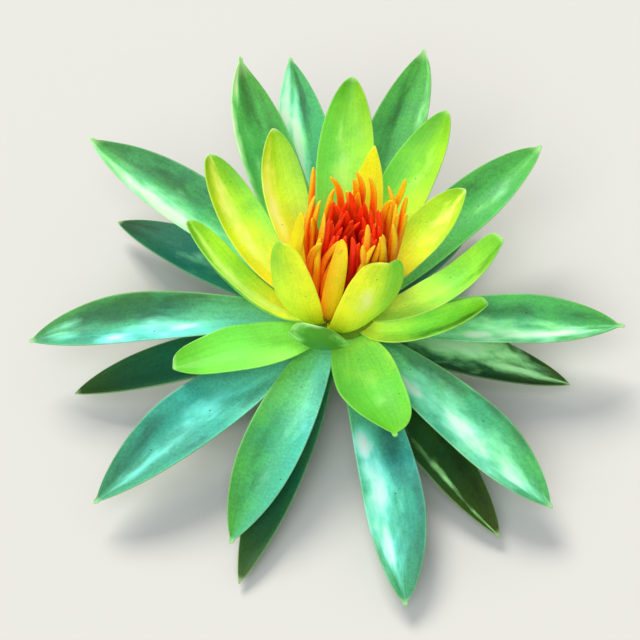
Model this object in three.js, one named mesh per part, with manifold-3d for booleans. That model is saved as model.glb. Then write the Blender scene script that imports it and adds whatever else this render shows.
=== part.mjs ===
// A water lily flower, picked with a short stub of its stalk and resting on the stub's flat cut.
// Millimetres and degrees, +Z up. Headings turn from +X (the flower's right) through +Y (its back).
import * as THREE from "three";
import { mergeVertices } from "three/addons/utils/BufferGeometryUtils.js";
import Module from "manifold-3d";

const wasm = await Module();
wasm.setup();

// ---- Driving sizes ----------------------------------------------------------------------------

const GAP = 0.3; // left between pieces that touch on the real flower

// Receptacle: the fleshy cone that carries every petal, with the cut stalk under it.
const STALK_RADIUS = 4.6;
const STALK_TOP = 6;
const FLARE_RADIUS = 6; // where the stalk's top curves out under the sepals
const FLARE_Z = 8.4;
const SHOULDER_RADIUS = 9.2;
const SHOULDER_Z = 10.4;
const CROWN_RADIUS = 11.4;
const CROWN_Z = 27;
const CROWN_LEAN = { x: 0.16, y: 0.12 }; // sideways shift of the crown for each mm above the shoulder
const RECEPTACLE_SIDES = 28;

// Blades: every sepal and petal is one closed grid, with rows along it and columns across it.
const BLADE_ROWS = 10;
const BLADE_COLUMNS = 4;
const ROOT_SUNK = 1.6; // how far a blade's root line starts inside the receptacle's wall
const ROOT_THICKNESS = 1.5;
const EDGE_THICKNESS = 0.62;
const TIP_SHARE = 0.06; // width left at the very tip, as a share of the blade's width
const CREASE_SOFTNESS = 0.2;

// Stamens: flat filaments in rows on two collars that lie on the crown.
const COLLAR_Z = CROWN_Z + GAP;
const COLLAR_THICKNESS = 1.2;
const STAMEN_AXIS = new THREE.Vector3(0.08, 0.03, 1); // the whole head leans a little with the crown
const STAMEN_ROWS = 4;
const STAMEN_TAPER = 0.62;
const STAMEN_FLATNESS = 0.45;
const STAMEN_SIDEWAYS = 6;
const STAMEN_HOOK = 0.12;
const STAMEN_SCATTER = 3;
const FRONT_HOLD = 0.65; // stamens lean out freely at the back and stand up at the front
const PETALOID_CLEARANCE = 24; // no outer stamen stands this near a petaloid
const OUTER_HEAD = {
  inner: 8, outer: 10.7, seed: 11,
  rows: [
    {
      radius: 9.9, count: 22, offset: 0, length: [20, 25.5], outward: [2, 16], incurve: 0.06,
      width: 2.6, givesWay: true,
    },
    {
      radius: 8.9, count: 18, offset: 0.5, length: [18, 24], outward: [1, 8], incurve: 0.08,
      width: 2.3, givesWay: true,
    },
  ],
};
const INNER_HEAD = {
  inner: 6, outer: 7.7, seed: 23,
  rows: [
    {
      radius: 6.9, count: 16, offset: 0.25, length: [14, 20], outward: [-6, 0], incurve: 0,
      width: 2.2, givesWay: false,
    },
  ],
};

// Stigma: a dish of rays round a low knob, from its foot to the knob's top.
const STIGMA_RADIUS = 5.6;
const STIGMA_RAYS = 16;
const STIGMA_PROFILE = [
  { share: 0.9, height: 0, ray: 0 },
  { share: 1, height: 1.6, ray: 0.5 },
  { share: 0.72, height: 1.1, ray: 0.4 },
  { share: 0.34, height: 0.8, ray: 0.15 },
  { share: 0.2, height: 2, ray: 0 },
];

// ---- Petals -------------------------------------------------------------------------------------
// Each blade: heading of its tip about the stalk, reach of the tip from the stalk's axis, height of
// the tip, width, root height on the receptacle, and the rise of its middle line at root and tip.
// Optional: root (heading of the root), facing (heading that its upper side turns to), sway (tip
// turned sideways), lop (tip shifted to the left, mm) and points (point of the left side and of the
// right one, seen from the root), in place of the whorl's one point.

const SEPAL = {
  slot: "sepal_green", rootShare: 0.5, widest: 0.45, point: 0.85, cup: 0.16, fold: 0.06,
};
const LOWER = {
  slot: "sepal_green", rootShare: 0.42, widest: 0.5, point: 0.85, cup: 0.12, fold: 0.1,
};
const OUTER = {
  slot: "outer_petal", rootShare: 0.4, widest: 0.55, point: 0.8, cup: 0.08, fold: 0.2,
};
const INNER = {
  slot: "inner_petal", rootShare: 0.5, widest: 0.54, point: 0.62, cup: 0.2, fold: 0.08,
};
const CUP = {
  slot: "cup_petal", rootShare: 0.5, widest: 0.46, point: 0.54, cup: 0.32, fold: 0,
};
const PETALOID = {
  slot: "petaloid_yellow", rootShare: 0.45, widest: 0.5, point: 0.7, cup: 0.2, fold: 0,
};

// A whorl's blades, numbered, each with the whorl's shape where it has none of its own.
function whorl(name, shape, blades) {
  return blades.map((blade, index) => ({ name: `${name}_${index + 1}`, ...shape, ...blade }));
}

const BLADES = [
  ...whorl("sepal", SEPAL, [
    { heading: 144, reach: 69.5, tip: 5, width: 15, z: 11, leave: 2, arrive: -12 },
    { heading: 252, reach: 71.5, tip: 2, width: 12, z: 11, leave: -2, arrive: -8 },
    { heading: 348, reach: 58.5, tip: 4, width: 14, z: 11, leave: 0, arrive: -12 },
    { heading: 50, reach: 56, tip: 5, width: 15, z: 11, leave: 0, arrive: -10 },
  ]),
  ...whorl("lower_petal", LOWER, [
    { heading: 194, reach: 65, tip: 5, width: 13, z: 11, leave: 0, arrive: -12 },
    { heading: 304, reach: 67.5, tip: 3, width: 13, z: 11, leave: 0, arrive: -12 },
    { heading: 98, reach: 58, tip: 8, width: 13, z: 11.5, leave: 0, arrive: -5 },
  ]),
  ...whorl("outer_petal", OUTER, [
    {
      heading: 184.5, reach: 74.5, tip: 14, width: 15.5, z: 14, leave: 5, arrive: -8,
      root: 182, sway: 4, widest: 0.62, lop: 1,
    },
    { heading: 142, reach: 79, tip: 27, width: 16.5, z: 15.2, leave: 16, arrive: 4 },
    { heading: 109, reach: 73, tip: 36, width: 14, z: 17, leave: 18, arrive: 18, lop: 1 },
    { heading: 99, reach: 73, tip: 34, width: 14, z: 13, leave: 16, arrive: 20 },
    { heading: 73, reach: 76, tip: 36, width: 15, z: 15, leave: 16, arrive: 20, lop: -1.2 },
    { heading: 40.5, reach: 69.5, tip: 28, width: 15, z: 13, leave: 16, arrive: 10, lop: 0.8 },
    {
      heading: 358.5, reach: 70.5, tip: 14, width: 15.5, z: 13.5, leave: 3, arrive: -6,
      root: 354, widest: 0.6,
    },
    {
      heading: 315, reach: 71.5, tip: 8, width: 15.5, z: 14.8, leave: 2, arrive: -14,
      root: 311, widest: 0.62, lop: -1.2,
    },
    {
      heading: 282, reach: 77, tip: 4, width: 14, z: 13.2, leave: 0, arrive: -14,
      root: 287, sway: -5, widest: 0.62, point: 0.75, lop: -0.6,
    },
    { heading: 248, reach: 64.5, tip: 6, width: 14.5, z: 15, leave: 1, arrive: -12 },
    { heading: 221, reach: 75, tip: 8, width: 16.8, z: 12.6, leave: 1, arrive: -12, lop: 1.2 },
  ]),
  ...whorl("inner_petal", INNER, [
    {
      heading: 201, reach: 41.5, tip: 17, width: 13.5, z: 16.5, leave: 9, arrive: -8,
      root: 225, points: [0.9, 0.32], lop: 2.6,
    },
    {
      heading: 157, reach: 39, tip: 33, width: 9, z: 18.5, leave: 18, arrive: 28,
      root: 202,
    },
    { heading: 138, reach: 41.5, tip: 43, width: 11, z: 21.1, leave: 28, arrive: 42, root: 172 },
    { heading: 114, reach: 37, tip: 46, width: 11, z: 22.5, leave: 35, arrive: 50, root: 134 },
    { heading: 85, reach: 48, tip: 50, width: 14, z: 19, leave: 35, arrive: 42, root: 90 },
    {
      heading: 57, reach: 48.5, tip: 46, width: 13, z: 17.2, leave: 32, arrive: 40,
      lop: -1.2,
    },
    { heading: 29, reach: 35.5, tip: 42, width: 12, z: 21, leave: 35, arrive: 45, root: 25 },
    {
      heading: 11, reach: 41, tip: 34.5, width: 9.5, z: 20.6, leave: 25, arrive: 36,
      root: 329, points: [0.3, 0.5], fold: 0.2, lop: 0.6,
    },
    {
      heading: 354, reach: 36.5, tip: 25, width: 8.2, z: 18.6, leave: 10, arrive: 15,
      root: 307, rootShare: 0.4, fold: 0.2,
    },
    {
      heading: 287, reach: 40, tip: 17, width: 15.5, z: 16.5, leave: 9, arrive: -12,
      root: 285, points: [0.4, 0.75], lop: 2.2,
    },
    {
      heading: 259, reach: 21.2, tip: 36.5, width: 14.5, z: 18.6, leave: -10, arrive: 108,
      root: 246, rootShare: 0.4, points: [0.7, 0.2],
    },
  ]),
  ...whorl("cup_petal", CUP, [
    {
      heading: 213, reach: 13.5, tip: 49.5, width: 12, z: 21.4, leave: 12, arrive: 92,
      root: 229, facing: 243, lop: -0.8,
    },
    {
      heading: 326, reach: 14.6, tip: 44, width: 14.5, z: 21.5, leave: 12, arrive: 80,
      root: 277, facing: 291, rootShare: 0.65, widest: 0.6, point: 0.4,
    },
    {
      heading: 70, reach: 27.5, tip: 48, width: 8, z: 23.5, leave: 30, arrive: 70,
      root: 72, point: 0.6,
    },
  ]),
  ...whorl("petaloid", PETALOID, [
    {
      heading: 144, reach: 10, tip: 46, width: 4.5, z: 24.2, leave: 30, arrive: 90,
      root: 175, facing: 215,
    },
    {
      heading: 284, reach: 5.5, tip: 49, width: 4.5, z: 24, leave: 30, arrive: 92,
      root: 251, facing: 262,
    },
  ]),
];

const PETALOIDS = BLADES.filter((blade) => blade.name.startsWith("petaloid"));

// ---- Small helpers ------------------------------------------------------------------------------

const radians = THREE.MathUtils.degToRad;

// Unit vector of a heading and a rise, both in degrees.
function direction(heading, rise) {
  const flat = Math.cos(radians(rise));
  return new THREE.Vector3(
    flat * Math.cos(radians(heading)),
    flat * Math.sin(radians(heading)),
    Math.sin(radians(rise)),
  );
}

// A closed geometry as a manifold-3d solid.
function solidOf(geometry) {
  const bare = geometry.clone();
  bare.deleteAttribute("normal");
  bare.deleteAttribute("uv");
  const merged = mergeVertices(bare, 1e-4);
  return new wasm.Manifold(new wasm.Mesh({
    numProp: 3,
    vertProperties: new Float32Array(merged.attributes.position.array),
    triVerts: new Uint32Array(merged.index.array),
  }));
}

// A manifold-3d solid back as a flat-shaded geometry.
function geometryOf(solid) {
  const mesh = solid.getMesh();
  const geometry = new THREE.BufferGeometry();
  geometry.setAttribute("position", new THREE.BufferAttribute(mesh.vertProperties, 3));
  geometry.setIndex(new THREE.BufferAttribute(mesh.triVerts, 1));
  geometry.computeVertexNormals();
  return geometry;
}

// A closed skin over rows of points: each row is one closed ring, and both ends are capped.
// From the side numbered mirrored on, the quads are split along their other diagonal, so that a
// blade's two faces are split alike.
function ringSkin(rings, mirrored = rings[0].length) {
  const count = rings[0].length;
  const positions = rings.flat().flatMap((p) => [p.x, p.y, p.z]);
  const faces = [];
  for (let i = 0; i + 1 < rings.length; i++) {
    for (let j = 0; j < count; j++) {
      const next = (j + 1) % count;
      const [a, b] = [i * count + j, i * count + next];
      const [c, d] = [a + count, b + count];
      if (j < mirrored) {
        faces.push(a, b, d, a, d, c);
      } else {
        faces.push(a, b, c, b, d, c);
      }
    }
  }
  const last = (rings.length - 1) * count;
  for (let j = 1; j + 1 < count; j++) {
    faces.push(0, j + 1, j, last, last + j, last + j + 1);
  }
  const geometry = new THREE.BufferGeometry();
  geometry.setAttribute("position", new THREE.Float32BufferAttribute(positions, 3));
  geometry.setIndex(faces);
  return geometry;
}

// ---- Receptacle ---------------------------------------------------------------------------------

// How far the crown has shifted sideways at a height.
function lean(z) {
  const above = Math.max(0, z - SHOULDER_Z);
  return new THREE.Vector3(CROWN_LEAN.x * above, CROWN_LEAN.y * above, 0);
}

// Radius of the receptacle between its shoulder and its crown.
function wallRadius(z) {
  const share = (z - SHOULDER_Z) / (CROWN_Z - SHOULDER_Z);
  return SHOULDER_RADIUS + (CROWN_RADIUS - SHOULDER_RADIUS) * THREE.MathUtils.clamp(share, 0, 1);
}

// The receptacle's skin, grown outwards by a margin.
function receptacleGeometry(margin) {
  const outline = [
    [0, -margin],
    [STALK_RADIUS + margin, -margin],
    [STALK_RADIUS + margin, STALK_TOP],
    [FLARE_RADIUS + margin, FLARE_Z],
    [SHOULDER_RADIUS + margin, SHOULDER_Z],
    [CROWN_RADIUS + margin, CROWN_Z + margin],
    [0, CROWN_Z + margin],
  ].map(([r, z]) => new THREE.Vector2(r, z));
  const geometry = new THREE.LatheGeometry(outline, RECEPTACLE_SIDES);
  geometry.rotateX(Math.PI / 2);
  const positions = geometry.attributes.position;
  for (let i = 0; i < positions.count; i++) {
    const shift = lean(positions.getZ(i));
    positions.setX(i, positions.getX(i) + shift.x);
    positions.setY(i, positions.getY(i) + shift.y);
  }
  return geometry;
}

// ---- Blades -------------------------------------------------------------------------------------

// Half width of one side of a blade at a share of its length, as a share of its full half width.
function outlineShare(blade, along, across) {
  if (along < blade.widest) {
    const rising = Math.sin((Math.PI / 2) * (along / blade.widest));
    return blade.rootShare + (1 - blade.rootShare) * rising;
  }
  const past = (along - blade.widest) / (1 - blade.widest);
  const [left, right] = blade.points ?? [blade.point, blade.point];
  return Math.max(TIP_SHARE, (1 - past * past) ** (across > 0 ? left : right));
}

// The middle line of a blade: it leaves the receptacle's wall squarely and ends at its tip.
function middleLine(blade) {
  const rootHeading = blade.root ?? blade.heading;
  const wall = wallRadius(blade.z) - ROOT_SUNK;
  const start = direction(rootHeading, 0).multiplyScalar(wall).add(lean(blade.z));
  start.z = blade.z;
  const end = direction(blade.heading, 0).multiplyScalar(blade.reach);
  end.z = blade.tip;
  const third = start.distanceTo(end) / 3;
  const after = start.clone().addScaledVector(direction(rootHeading, blade.leave), third);
  const chord = end.clone().sub(after);
  const heading = THREE.MathUtils.radToDeg(Math.atan2(chord.y, chord.x)) + (blade.sway ?? 0);
  const before = end.clone().addScaledVector(direction(heading, blade.arrive), -third);
  return new THREE.CubicBezierCurve3(start, after, before, end);
}

// One cross-section of a blade as a closed ring, upper side first, from its left edge to its right.
function bladeRing(blade, line, along) {
  const centre = line.getPoint(along);
  const forward = line.getTangent(along);
  const facing = blade.facing ?? blade.heading;
  const side = direction(facing + 90, 0);
  side.addScaledVector(forward, -side.dot(forward)).normalize();
  const up = forward.clone().cross(side).normalize();
  const shift = (blade.lop ?? 0) * THREE.MathUtils.smoothstep(along, 0.55, 1);
  const middle = EDGE_THICKNESS + (ROOT_THICKNESS - EDGE_THICKNESS) * (1 - along);
  const upper = [];
  const lower = [];
  for (let j = 0; j <= BLADE_COLUMNS; j++) {
    const across = 1 - (2 * j) / BLADE_COLUMNS;
    const half = (blade.width / 2) * outlineShare(blade, along, across);
    const crease = Math.sqrt(across * across + CREASE_SOFTNESS ** 2);
    const height = blade.cup * across * across + blade.fold * (crease - CREASE_SOFTNESS);
    const slope = 2 * blade.cup * across + (blade.fold * across) / crease;
    const thickness = EDGE_THICKNESS + (middle - EDGE_THICKNESS) * (1 - across * across);
    const point = centre.clone().addScaledVector(side, half * across + shift);
    point.addScaledVector(up, half * height);
    const normal = up.clone().addScaledVector(side, -slope).normalize();
    upper.push(point.clone().addScaledVector(normal, thickness / 2));
    lower.unshift(point.clone().addScaledVector(normal, -thickness / 2));
  }
  return [...upper, ...lower];
}

function bladeSolid(blade, keepOut) {
  const line = middleLine(blade);
  const rings = [];
  for (let i = 0; i <= BLADE_ROWS; i++) {
    rings.push(bladeRing(blade, line, i / BLADE_ROWS));
  }
  return solidOf(ringSkin(rings, BLADE_COLUMNS + 1)).subtract(keepOut);
}

// ---- Stamens and stigma -----------------------------------------------------------------------

// Repeatable draws, so that every run grows the same stamens.
function seeded(seed) {
  let state = seed;
  return (low, high) => {
    state = (state * 1664525 + 1013904223) % 4294967296;
    return low + ((high - low) * state) / 4294967296;
  };
}

// The flat ring that a head of stamens grows from.
function collarGeometry(inner, outer) {
  const top = COLLAR_Z + COLLAR_THICKNESS;
  const outline = [
    [inner, COLLAR_Z], [outer, COLLAR_Z], [outer, top], [inner, top], [inner, COLLAR_Z],
  ].map(([r, z]) => new THREE.Vector2(r, z));
  const geometry = new THREE.LatheGeometry(outline, RECEPTACLE_SIDES);
  geometry.rotateX(Math.PI / 2);
  const shift = lean(CROWN_Z);
  geometry.translate(shift.x, shift.y, 0);
  return geometry;
}

// One stamen: a flat filament that narrows to a bent tip. Turns are about the collar's axis.
function stamenSolid(row, turn, draw) {
  const length = draw(...row.length);
  const outward = draw(...row.outward) * Math.min(1, FRONT_HOLD + FRONT_HOLD * Math.sin(radians(turn)));
  const sideways = draw(-STAMEN_SIDEWAYS, STAMEN_SIDEWAYS);
  const hook = draw(-STAMEN_HOOK, STAMEN_HOOK);
  const out = direction(turn, 0);
  const side = direction(turn + 90, 0);
  const foot = out.clone().multiplyScalar(row.radius).add(lean(CROWN_Z));
  foot.z = COLLAR_Z + COLLAR_THICKNESS / 2;
  const rings = [];
  for (let i = 0; i <= STAMEN_ROWS; i++) {
    const along = i / STAMEN_ROWS;
    const centre = foot.clone().addScaledVector(STAMEN_AXIS, length * along);
    centre.addScaledVector(out, length * along * (Math.tan(radians(outward)) - row.incurve * along ** 2));
    centre.addScaledVector(side, length * along * (Math.tan(radians(sideways)) + hook * along ** 3));
    const half = (row.width / 2) * (1 - STAMEN_TAPER * along ** 2);
    const thick = half * STAMEN_FLATNESS;
    rings.push([
      centre.clone().addScaledVector(side, half),
      centre.clone().addScaledVector(out, -thick),
      centre.clone().addScaledVector(side, -half),
      centre.clone().addScaledVector(out, thick),
    ]);
  }
  return solidOf(ringSkin(rings));
}

// A collar with its rows of stamens, fused into one body.
function stamenHead(head) {
  const draw = seeded(head.seed);
  let solid = solidOf(collarGeometry(head.inner, head.outer));
  for (const row of head.rows) {
    for (let i = 0; i < row.count; i++) {
      const turn = ((i + row.offset) * 360) / row.count + draw(-STAMEN_SCATTER, STAMEN_SCATTER);
      const stamen = stamenSolid(row, turn, draw);
      const behindPetaloid = PETALOIDS.some((p) => Math.abs(p.root - turn) < PETALOID_CLEARANCE);
      if (!behindPetaloid || !row.givesWay) {
        solid = solid.add(stamen);
      }
    }
  }
  return solid;
}

// The stigma: every second corner of its rings is raised into a ray.
function stigmaGeometry() {
  const foot = lean(CROWN_Z).setZ(CROWN_Z + GAP);
  const corners = STIGMA_RAYS * 2;
  return ringSkin(STIGMA_PROFILE.map(({ share, height, ray }) => {
    const ring = [];
    for (let j = 0; j < corners; j++) {
      const corner = direction((360 * j) / corners, 0).multiplyScalar(STIGMA_RADIUS * share);
      corner.z = height + (j % 2 ? 0 : ray);
      ring.push(corner.add(foot));
    }
    return ring;
  }));
}

// ---- The flower -----------------------------------------------------------------------------------

const MATERIALS = {
  receptacle_green: { color: 0x6f9a4a, roughness: 0.6 },
  sepal_green: { color: 0x3c7a58, roughness: 0.5 },
  outer_petal: { color: 0x5cc3a0, roughness: 0.45 },
  inner_petal: { color: 0x86dc48, roughness: 0.45 },
  cup_petal: { color: 0xc8ee30, roughness: 0.45 },
  petaloid_yellow: { color: 0xffd800, roughness: 0.5 },
  stamen_orange: { color: 0xff8a00, roughness: 0.6 },
  stamen_red: { color: 0xe02a0c, roughness: 0.6 },
  stigma_yellow: { color: 0xf2b21c, roughness: 0.7 },
};

const flower = new THREE.Group();
flower.name = "water_lily_flower";

function addPiece(name, slot, geometry) {
  const material = new THREE.MeshStandardMaterial({ ...MATERIALS[slot], metalness: 0 });
  const mesh = new THREE.Mesh(geometry, material);
  mesh.name = name;
  flower.add(mesh);
}

const keepOut = solidOf(receptacleGeometry(GAP));
addPiece("receptacle", "receptacle_green", receptacleGeometry(0));
for (const blade of BLADES) {
  addPiece(blade.name, blade.slot, geometryOf(bladeSolid(blade, keepOut)));
}

addPiece("outer_stamens", "stamen_orange", geometryOf(stamenHead(OUTER_HEAD)));
addPiece("inner_stamens", "stamen_red", geometryOf(stamenHead(INNER_HEAD)));
addPiece("stigma_disc", "stigma_yellow", stigmaGeometry());

export default flower;
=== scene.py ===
"""An open water lily flower, as picked, on the flat cut of its short stalk.

Every sepal and petal is one waxy blade on the receptacle, and two heads of stamens stand round
the stigma. Sizes are in millimetres and angles in degrees until a mesh is written, in metres.
Headings turn from +X (the flower's right) through +Y (its back).
"""

import math

import bpy
import numpy as np
from bpy.props import FloatProperty, FloatVectorProperty, IntProperty, PointerProperty
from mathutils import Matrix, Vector


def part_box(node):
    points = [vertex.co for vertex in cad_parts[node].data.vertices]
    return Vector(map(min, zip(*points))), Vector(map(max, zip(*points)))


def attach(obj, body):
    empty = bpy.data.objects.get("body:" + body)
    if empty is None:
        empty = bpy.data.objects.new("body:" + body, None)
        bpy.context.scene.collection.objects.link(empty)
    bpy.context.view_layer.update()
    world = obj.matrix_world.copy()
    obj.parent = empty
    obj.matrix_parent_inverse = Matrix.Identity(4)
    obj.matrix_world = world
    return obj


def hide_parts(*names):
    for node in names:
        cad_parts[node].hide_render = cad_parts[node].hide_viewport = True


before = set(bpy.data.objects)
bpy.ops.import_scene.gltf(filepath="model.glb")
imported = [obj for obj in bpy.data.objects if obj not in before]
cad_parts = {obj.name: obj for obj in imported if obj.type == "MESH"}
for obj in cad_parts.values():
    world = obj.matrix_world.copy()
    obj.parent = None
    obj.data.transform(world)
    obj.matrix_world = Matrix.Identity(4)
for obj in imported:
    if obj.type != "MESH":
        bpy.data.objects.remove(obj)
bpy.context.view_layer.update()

bl_info = {
    "name": "Water Lily Flower",
    "version": (1, 0, 0),
    "blender": (4, 5, 0),
    "location": "View3D > Sidebar > Water Lily",
    "description": "Builds an open water lily flower blade by blade, with its stamens and stalk",
    "category": "Add Mesh",
}

MM = 0.001
BODY = "root"

# The receptacle, as the solids have it.
STALK_RADIUS = 4.6
STALK_TOP = 6.0
FLARE_RADIUS = 6.0
FLARE_Z = 8.4
SHOULDER_RADIUS = 9.2
SHOULDER_Z = 10.4
CROWN_RADIUS = 11.4
CROWN_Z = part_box("receptacle")[1].z / MM
CROWN_LEAN = (0.16, 0.12)  # sideways shift for each mm above the shoulder

# ---- Blades --------------------------------------------------------------------------------------
# Each whorl has a shape: root_share (width at the root as a share of the full width), widest (share
# of the length where it is widest), point (how pointed it ends), cup and fold (rise of the margins
# over the middle, rounded and creased, as a share of the half width), wave (height of the margins'
# ripples, mm) and back (how much of the back colour its lower face has).
# Each blade has the heading of its tip, reach of the tip from the stalk's axis, height of the tip,
# width, z (height of the root on the receptacle), and the rise of its middle line where it leaves
# the root and arrives at the tip. Optional: root (heading of the root), facing (heading that its
# breadth stands square to), sway (tip turned sideways), curl (left and right margin turned up, mm,
# from curl_from of the half width), points (point of the left and the right side), nib (share of
# the length that is a narrow nib), hook (tip bent up, mm), lop (tip shifted to the left, mm) and
# bow (middle shifted to the left, mm).
# For the looks: ripe (0 the whorl's first colours, 1 its second), lit (painted light and shade:
# how much lighter than the rest, and below 0 how much darker) and pale (share of the length that
# is pale at the tip). ripe_side and lit_side give more of it to the left half, seen from the root:
# lit_side paints light on one half and shade on the other, and ripe_side tints one half apart
# from the other, partly the blade's own colour and partly a painted reflection. Each of marks is
# a painted patch on the blade: its place along (0 root, 1 tip) and across (1 left, -1 right), its
# half length and half breadth in the same shares, and its strength, above 0 for painted sheen
# (highlights laid on as pale wax) and below 0 for painted shade.

SEPAL = dict(
    slot="sepal_green", root_share=0.5, widest=0.45, point=0.85, cup=0.16, fold=0.06, wave=0.35,
    back=0.6,
)
LOWER = dict(
    slot="sepal_green", root_share=0.42, widest=0.5, point=0.85, cup=0.12, fold=0.1, wave=0.35,
    back=0.6,
)
OUTER = dict(
    slot="outer_petal", root_share=0.4, widest=0.55, point=0.85, cup=0.08, fold=0.24, wave=0.4,
    nib=0.01, back=0.6,
)
INNER = dict(
    slot="inner_petal", root_share=0.5, widest=0.54, point=0.65, cup=0.2, fold=0.08, wave=0.35,
    back=0.3,
)
CUP = dict(
    slot="cup_petal", root_share=0.55, widest=0.46, point=0.56, cup=0.32, fold=0.0, wave=0.12,
    back=0.0,
)
PETALOID = dict(
    slot="petaloid_yellow", root_share=0.45, widest=0.5, point=0.6, cup=0.2, fold=0.0, wave=0.1,
    back=0.0,
)


def whorl(name, shape, blades):
    """A whorl's blades, numbered, each with the whorl's shape where it has none of its own."""
    return [{"name": f"{name}_{i + 1}", "seed": i + 1, **shape, **b} for i, b in enumerate(blades)]


SEPALS = whorl("sepal", SEPAL, [
    dict(heading=144, reach=69.5, tip=5, width=15, z=11, leave=2, arrive=-12,
         ripe=0.1, lit_side=0.2,
         marks=[(0.55, 0.2, 0.22, 0.6, 0.4), (0.98, 0.0, 0.22, 1.0, -0.8)]),
    dict(heading=252, reach=71.5, tip=2, width=12, z=11, leave=-2, arrive=-8, ripe=0.6),
    dict(heading=348, reach=58.5, tip=4, width=14, z=11, leave=0, arrive=-12, ripe=0.8,
         marks=[(0.4, 0.3, 0.38, 0.65, 1.3), (0.75, -0.15, 0.25, 0.3, 1.15),
                (0.75, 0.75, 0.2, 0.4, -1.0), (0.5, -0.95, 0.5, 0.3, -1.2)]),
    dict(heading=50, reach=56, tip=5, width=15, z=11, leave=0, arrive=-10, ripe=0.5),
])
LOWER_PETALS = whorl("lower_petal", LOWER, [
    dict(heading=194, reach=65, tip=5, width=13, z=11, leave=0, arrive=-12, ripe=0.6, lit=-0.2),
    dict(heading=304, reach=67.5, tip=3, width=13, z=11, leave=0, arrive=-12, ripe=1.0, lit=-0.4,
         marks=[(0.72, -0.5, 0.3, 0.14, 0.7), (0.6, 0.5, 0.4, 0.5, -0.6)]),
    dict(heading=98, reach=58, tip=8, width=13, z=11.5, leave=0, arrive=-5, ripe=0.5),
])
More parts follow.
